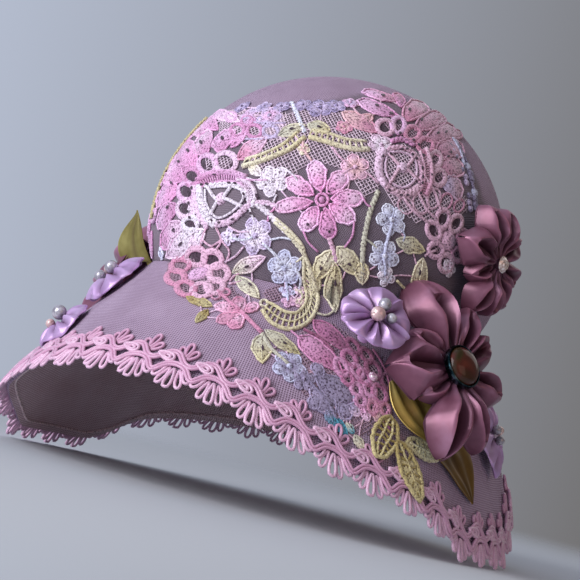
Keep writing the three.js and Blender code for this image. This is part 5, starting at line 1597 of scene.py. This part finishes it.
def ribbon_leaf(name, material, curl, pleat, broad=1.0, cone=0.0, tilt=0.0, sweep=0.0, tuck=0.0):
    """A leaf of folded ribbon. It may be broader, run out as a cone from its foot, be turned on its length,
    and have its foot swept aside and tucked further up under a flower."""
    leaf = LEAVES[name]
    cloth, part, across = cut_grid(LEAF_COLUMNS_CUT, LEAF_ROWS_CUT)
    side = 2 * across - 1
    pointed = leaf_half(part, leaf["width"]) * np.maximum(1 - part ** 4, 0.02) ** 0.8
    spread = leaf["width"] / 2 * np.maximum(1 - part ** 1.8, 0.02) * np.minimum(0.55 + 2.2 * part, 1)
    width = (1 - cone) * pointed + cone * spread
    taper = width / (leaf["width"] / 2)
    lift = 0.8 + leaf["fold"] * np.abs(side) ** 1.4 * taper + curl * part ** 3 + tilt * (1 - side) / 2 * taper
    waves = np.sin(3.2 * math.pi * (side + 0.35)) * np.sin(math.pi * np.clip(part * 0.9 + 0.05, 0, 1))
    lift += pleat * waves * (1 - 0.6 * part)
    lift += 0.35 * taper * np.sin(9 * part + 3 * side)
    # Painted shade along the middle fold and a painted highlight along the edges.
    paint_fold_shade_and_highlight(cloth, 0.4 * np.clip(1 - np.abs(side) * 5, 0, 1), 0.8 * np.clip(np.abs(side) * 12 - 11, 0, 1))
    tucked = part - tuck * (1 - part)
    half = leaf_half(tucked, leaf["width"])
    aside = side * broad * (width / half) + sweep * (1 - part) ** 2 / half
    move_corners(cloth, on_leaf(leaf, tucked, aside, lift))
    sewn("folded_" + name, [cloth], material, "olive_ribbon", name)


ribbon_leaf("ribbon_leaf", olive_satin, 1.6, 1.7, broad=1.85)
ribbon_leaf("ribbon_tail", tail_satin, 0.8, 0.6, broad=1.5, cone=1.0, sweep=13.0, tuck=0.2)
ribbon_leaf("side_leaf", moss_satin, 9.0, 0.4, broad=0.6, tilt=18.0)


# %% The lace sprig
SPRIG_TINTS = (tone_of(164, 146, 88), tone_of(208, 196, 144))
PALE_TINTS = (tone_of(206, 196, 148), tone_of(236, 230, 190))
SPRIG = {"sprig_leaf_a": SPRIG_TINTS, "sprig_leaf_b": SPRIG_TINTS, "sprig_leaf_c": PALE_TINTS}
EDGE_STEPS, CROSS_THREADS, MIDDLE_STEPS = 16, 6, 9
sprig_work = ThreadWork(71)


def sprig_rope(leaf, part, side, lift, radius, tint, *form):
    """A rope on a leaf of the sprig."""
    middle = beside(leaf["angle"], leaf["down"], leaf["east"] * part, leaf["south"] * part)
    sprig_work.rope(on_leaf(leaf, part, side, lift), chart_read(out_chart, *middle), radius, tint, *form)


for name, (deep, pale) in SPRIG.items():
    leaf = LEAVES[name]
    steps = np.linspace(0, 1, EDGE_STEPS)
    part = np.concatenate([steps, steps[-2:0:-1]])
    side = np.concatenate([np.ones(EDGE_STEPS), -np.ones(EDGE_STEPS - 2)])
    ragged = 1 + 0.09 * sprig_work.chance.uniform(-1, 1, len(part))
    sprig_rope(leaf, part, side * ragged, 0.9, 1.25, toward(deep, pale, part), 6, True, 0.8)
    open_leaf = name == "sprig_leaf_a"
    for hand in (-0.34, 0.34) if open_leaf else (0.0,):
        line = np.linspace(0.03, 0.95, 10)
        sprig_rope(leaf, line, hand * (1 + 0.25 * np.sin(9 * line + 4 * hand)), 0.9, 0.75, pale)
    for k in range(1, CROSS_THREADS + 1):
        aside = np.linspace(-0.95, 0.95, 6)
        rise = np.clip(k / (CROSS_THREADS + 1) + 0.05 * np.sin(3 * aside + k), 0, 0.98)
        sprig_rope(leaf, rise, aside, 0.8, 0.7, deep)
    if not open_leaf:
        steps = np.linspace(0.24, 0.97, MIDDLE_STEPS)
        hand = np.concatenate([np.full(MIDDLE_STEPS, 0.92), np.full(MIDDLE_STEPS - 2, -0.92)])
        outline = leaf_place(leaf, np.concatenate([steps, steps[-2:0:-1]]), hand)
        sprig_work.pad(*outline, 1.2, np.array(pale), base=leaf["lift"] + 0.1)
wear(sprig_work.piece("lace_sprig", cotton), "lace_leaf", *SPRIG)


# %% [markdown]
# The beads are glass pearls: a milky coat over glass that goes pale at a glance and deeper in the middle,
# each pierced for its thread. One is made from a ball, with its two poles sunk to form the hole, and the
# others are copies at their solids' sizes and places.


# %% Pearls
def pearl_finish(name, *tones):
    """Pearl coat: a soft change of tone and a clear gloss over it."""
    material, tree, shader = plain_shader(name, Roughness=0.22, Coat_Weight=0.8, Coat_Roughness=0.06,
                                          Specular_IOR_Level=0.6, Metallic=0.25)
    stops = zip((0.35, 0.5, 0.7), (tone_of(*tone) for tone in tones))
    dress(tree, shader, ramp_of(tree, noise_of(tree, 260.0, 2.0), list(stops)))
    return material


PEARL_COATS = {
    "grey_pearl": pearl_finish("grey_pearl_coat", (132, 128, 138), (172, 168, 178), (214, 210, 220)),
    "peach_pearl": pearl_finish("peach_pearl_coat", (192, 146, 150), (218, 182, 180), (240, 216, 210)),
}
POLE, HOLE_DEPTH = 0.999, 0.55
bpy.ops.object.select_all(action="DESELECT")
bpy.ops.mesh.primitive_uv_sphere_add(segments=32, ring_count=20, radius=1.0)
pattern = bpy.context.object
bpy.ops.object.mode_set(mode="EDIT")
bpy.ops.mesh.select_mode(type="VERT")
bpy.ops.mesh.select_all(action="DESELECT")
bpy.ops.object.mode_set(mode="OBJECT")
for corner in pattern.data.vertices:
    corner.select = abs(corner.co.z) > POLE
bpy.ops.object.mode_set(mode="EDIT")
bpy.ops.transform.resize(value=(1, 1, HOLE_DEPTH), center_override=(0, 0, 0))
bpy.ops.object.mode_set(mode="OBJECT")
BEADS = (
    ("peach_pearl", "peach_pearl"), ("grey_pearl", "grey_pearl"), ("small_grey_pearl", "grey_pearl"),
    ("violet_bead_a", "grey_pearl"), ("violet_bead_b", "peach_pearl"), ("violet_bead_c", "grey_pearl"),
    ("side_pearl_a", "grey_pearl"), ("side_pearl_b", "peach_pearl"), ("side_pearl_c", "grey_pearl"),
    ("low_pearl", "grey_pearl"), ("low_small_pearl", "peach_pearl"),
)
tilt = np.random.default_rng(81)
for name, coat in BEADS:
    low, high = (np.array(corner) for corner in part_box(name))
    bead = pattern.copy()
    bead.data = pattern.data.copy()
    bead.name = "bead_" + name
    bpy.context.scene.collection.objects.link(bead)
    only(bead)
    bead.location = (low + high) / 2
    bead.scale = [float((high - low).max() / 2)] * 3
    bead.rotation_euler = tilt.uniform(0, math.pi, 3)
    bpy.ops.object.transform_apply(location=True, rotation=True, scale=True)
    bead.data.materials.append(PEARL_COATS[coat])
    bpy.ops.object.shade_smooth()
    wear(bead, coat, name)
bpy.data.objects.remove(pattern)
print(len(BEADS), "beads")

# %% [markdown]
# The large stone is a domed glass in a dark metal bezel: brown at the middle, with olive and red showing
# through, and a teal sheen at one edge of the metal, painted into the metal's colour as patches of teal and
# pale glint. Both are a lathe's work: a half profile is spun about the middle of the flower.

# %% The cabochon and its bezel
TURNED_SMOOTH = math.radians(40)


def spun(name, node, profile, sides, stand, lift, material, slot, facets=False):
    """A turned or cut piece, from its half profile of radius and height, a lift above its stand."""
    middle, to_east, to_south, out = stand
    tube, around, along = open_tube(sides, len(profile) - 1)
    tube.name = name
    steps = np.arange(len(profile)) / (len(profile) - 1)
    radius, height = (np.interp(along, steps, column) for column in zip(*profile))
    if facets:
        around = around + np.round(along * (len(profile) - 1)) % 2 * math.pi / sides
    move_corners(tube, middle + (radius * np.cos(around))[:, None] * to_east
                 + (radius * np.sin(around))[:, None] * to_south + (height + lift)[:, None] * out)
    face_out(tube, True, facets)
    tube.data.materials.clear()
    tube.data.materials.append(material)
    if facets:
        bpy.ops.object.shade_flat()
    else:
        bpy.ops.object.shade_smooth_by_angle(angle=TURNED_SMOOTH)
    wear(tube, slot, node)


def ramp_tones(*stops):
    """Stops of a ramp, each a place and a tone given in 0 to 255."""
    return [(stop[0], tone_of(*stop[1:])) for stop in stops]


dark_glass, tree, shader = plain_shader("dark_glass", Roughness=0.09, Coat_Weight=0.1, Coat_Roughness=0.03,
                                        Specular_IOR_Level=0.28)
dress(tree, shader, ramp_of(tree, noise_of(tree, 60.0, 2.0, Distortion=0.8), ramp_tones(
    (0.3, 30, 26, 14), (0.44, 52, 42, 22), (0.56, 74, 34, 26), (0.68, 104, 48, 36), (0.78, 54, 28, 28))))
# Painted glints: patches of teal and pale tone in the metal's colour.
dark_metal, tree, shader = plain_shader("dark_metal", Roughness=0.22, Metallic=1.0)
dress(tree, shader, ramp_of(tree, noise_of(tree, 120.0, 2.0), ramp_tones(
    (0.38, 16, 17, 19), (0.53, 26, 50, 58), (0.63, 110, 136, 144), (0.7, 22, 24, 27))))

CABOCHON = {"lift": 2.8, "radius": 9.9, "height": 6.4, "rim": 1.2}
BEZEL = {"inner": 10.1, "wall": 1.2, "height": 2.4, "floor": 1.2}
TURNED_SIDES = 48
lift, radius, height, rim = CABOCHON.values()
dome = [(radius * math.sin(a), rim + (height - rim) * math.cos(a)) for a in np.linspace(0.12, math.pi / 2, 12)]
dome = [(0.0, height), *dome, (radius, 0.0), (0.0, 0.0)]
inner, outer, rim, foot = BEZEL["inner"], BEZEL["inner"] + BEZEL["wall"], BEZEL["height"], -BEZEL["floor"]
bezel = [(0.0, foot), (outer - 0.3, foot), (outer, foot + 0.4), (outer, rim - 1.2), (outer - 0.25, rim - 0.3),
         (outer - 0.7, rim), (inner + 0.25, rim - 0.2), (inner, rim - 0.7), (inner, -0.3), (0.0, -0.3)]
rose_middle = flower_frame(FLOWERS["rose_flower"])
spun("cabochon_glass", "cabochon", dome, TURNED_SIDES, rose_middle, lift, dark_glass, "dark_glass")
spun("bezel_ring", "cabochon_bezel", bezel, TURNED_SIDES, rose_middle, lift, dark_metal, "dark_metal")
print("cabochon of", 2 * radius, "mm in its bezel")

# %% [markdown]
# The two crystals are cut stones with flat facets: a table, a sloping crown and a pointed back.


# %% Crystals
def crystal_finish(name, *tone):
    """Cut glass with a tint that gathers at its depth, and painted white flashes of light in small cells."""
    material, tree, shader = plain_shader(name, Roughness=0.05, IOR=1.6, Coat_Weight=1.0, Coat_Roughness=0.02,
                                          Metallic=0.3, Specular_IOR_Level=0.8)
    flash = on_object(tree, "TexVoronoi", Scale=700.0).outputs["Distance"]
    tint = tone_of(*tone)
    deep = tuple(0.5 * part for part in tint)
    dress(tree, shader, ramp_of(tree, flash, [(0.2, (1.0, 0.97, 0.96)), (0.5, tint), (0.8, deep)]))
    return material


FACETS = 12


def cut_stone(name, node, girdle, table, crown, pavilion, stand, gap, material, slot):
    """A cut stone with its point a gap above its stand."""
    middle, to_east, to_south, out = stand
    profile = [(0.0, crown), (table, crown), (0.72 * girdle, 0.62 * crown), (girdle, 0.1), (girdle, -0.1),
               (0.6 * girdle, -0.5 * pavilion), (0.0, -pavilion)]
    stand = (middle + out * (pavilion + gap), to_east, to_south, out)
    spun(name, node, profile, FACETS, stand, 0.0, material, slot, facets=True)


LACE_CRYSTAL = (50.0, 226.0)
LACE_HEIGHT = 2.9
cut_stone("cut_crystal", "crystal", 4.4, 2.4, 2.0, 2.8, flower_frame(FLOWERS["upper_rose_flower"]), 0.4,
          crystal_finish("rose_crystal", 240, 214, 204), "crystal")
cut_stone("cut_lace_crystal", "lace_crystal", 2.6, 1.4, 1.1, 1.3,
          (on_hat(*LACE_CRYSTAL, LACE_HEIGHT), *hat_frame(*LACE_CRYSTAL)), 0.9,
          crystal_finish("pink_crystal", 246, 196, 226), "pink_crystal")
print("two cut stones")
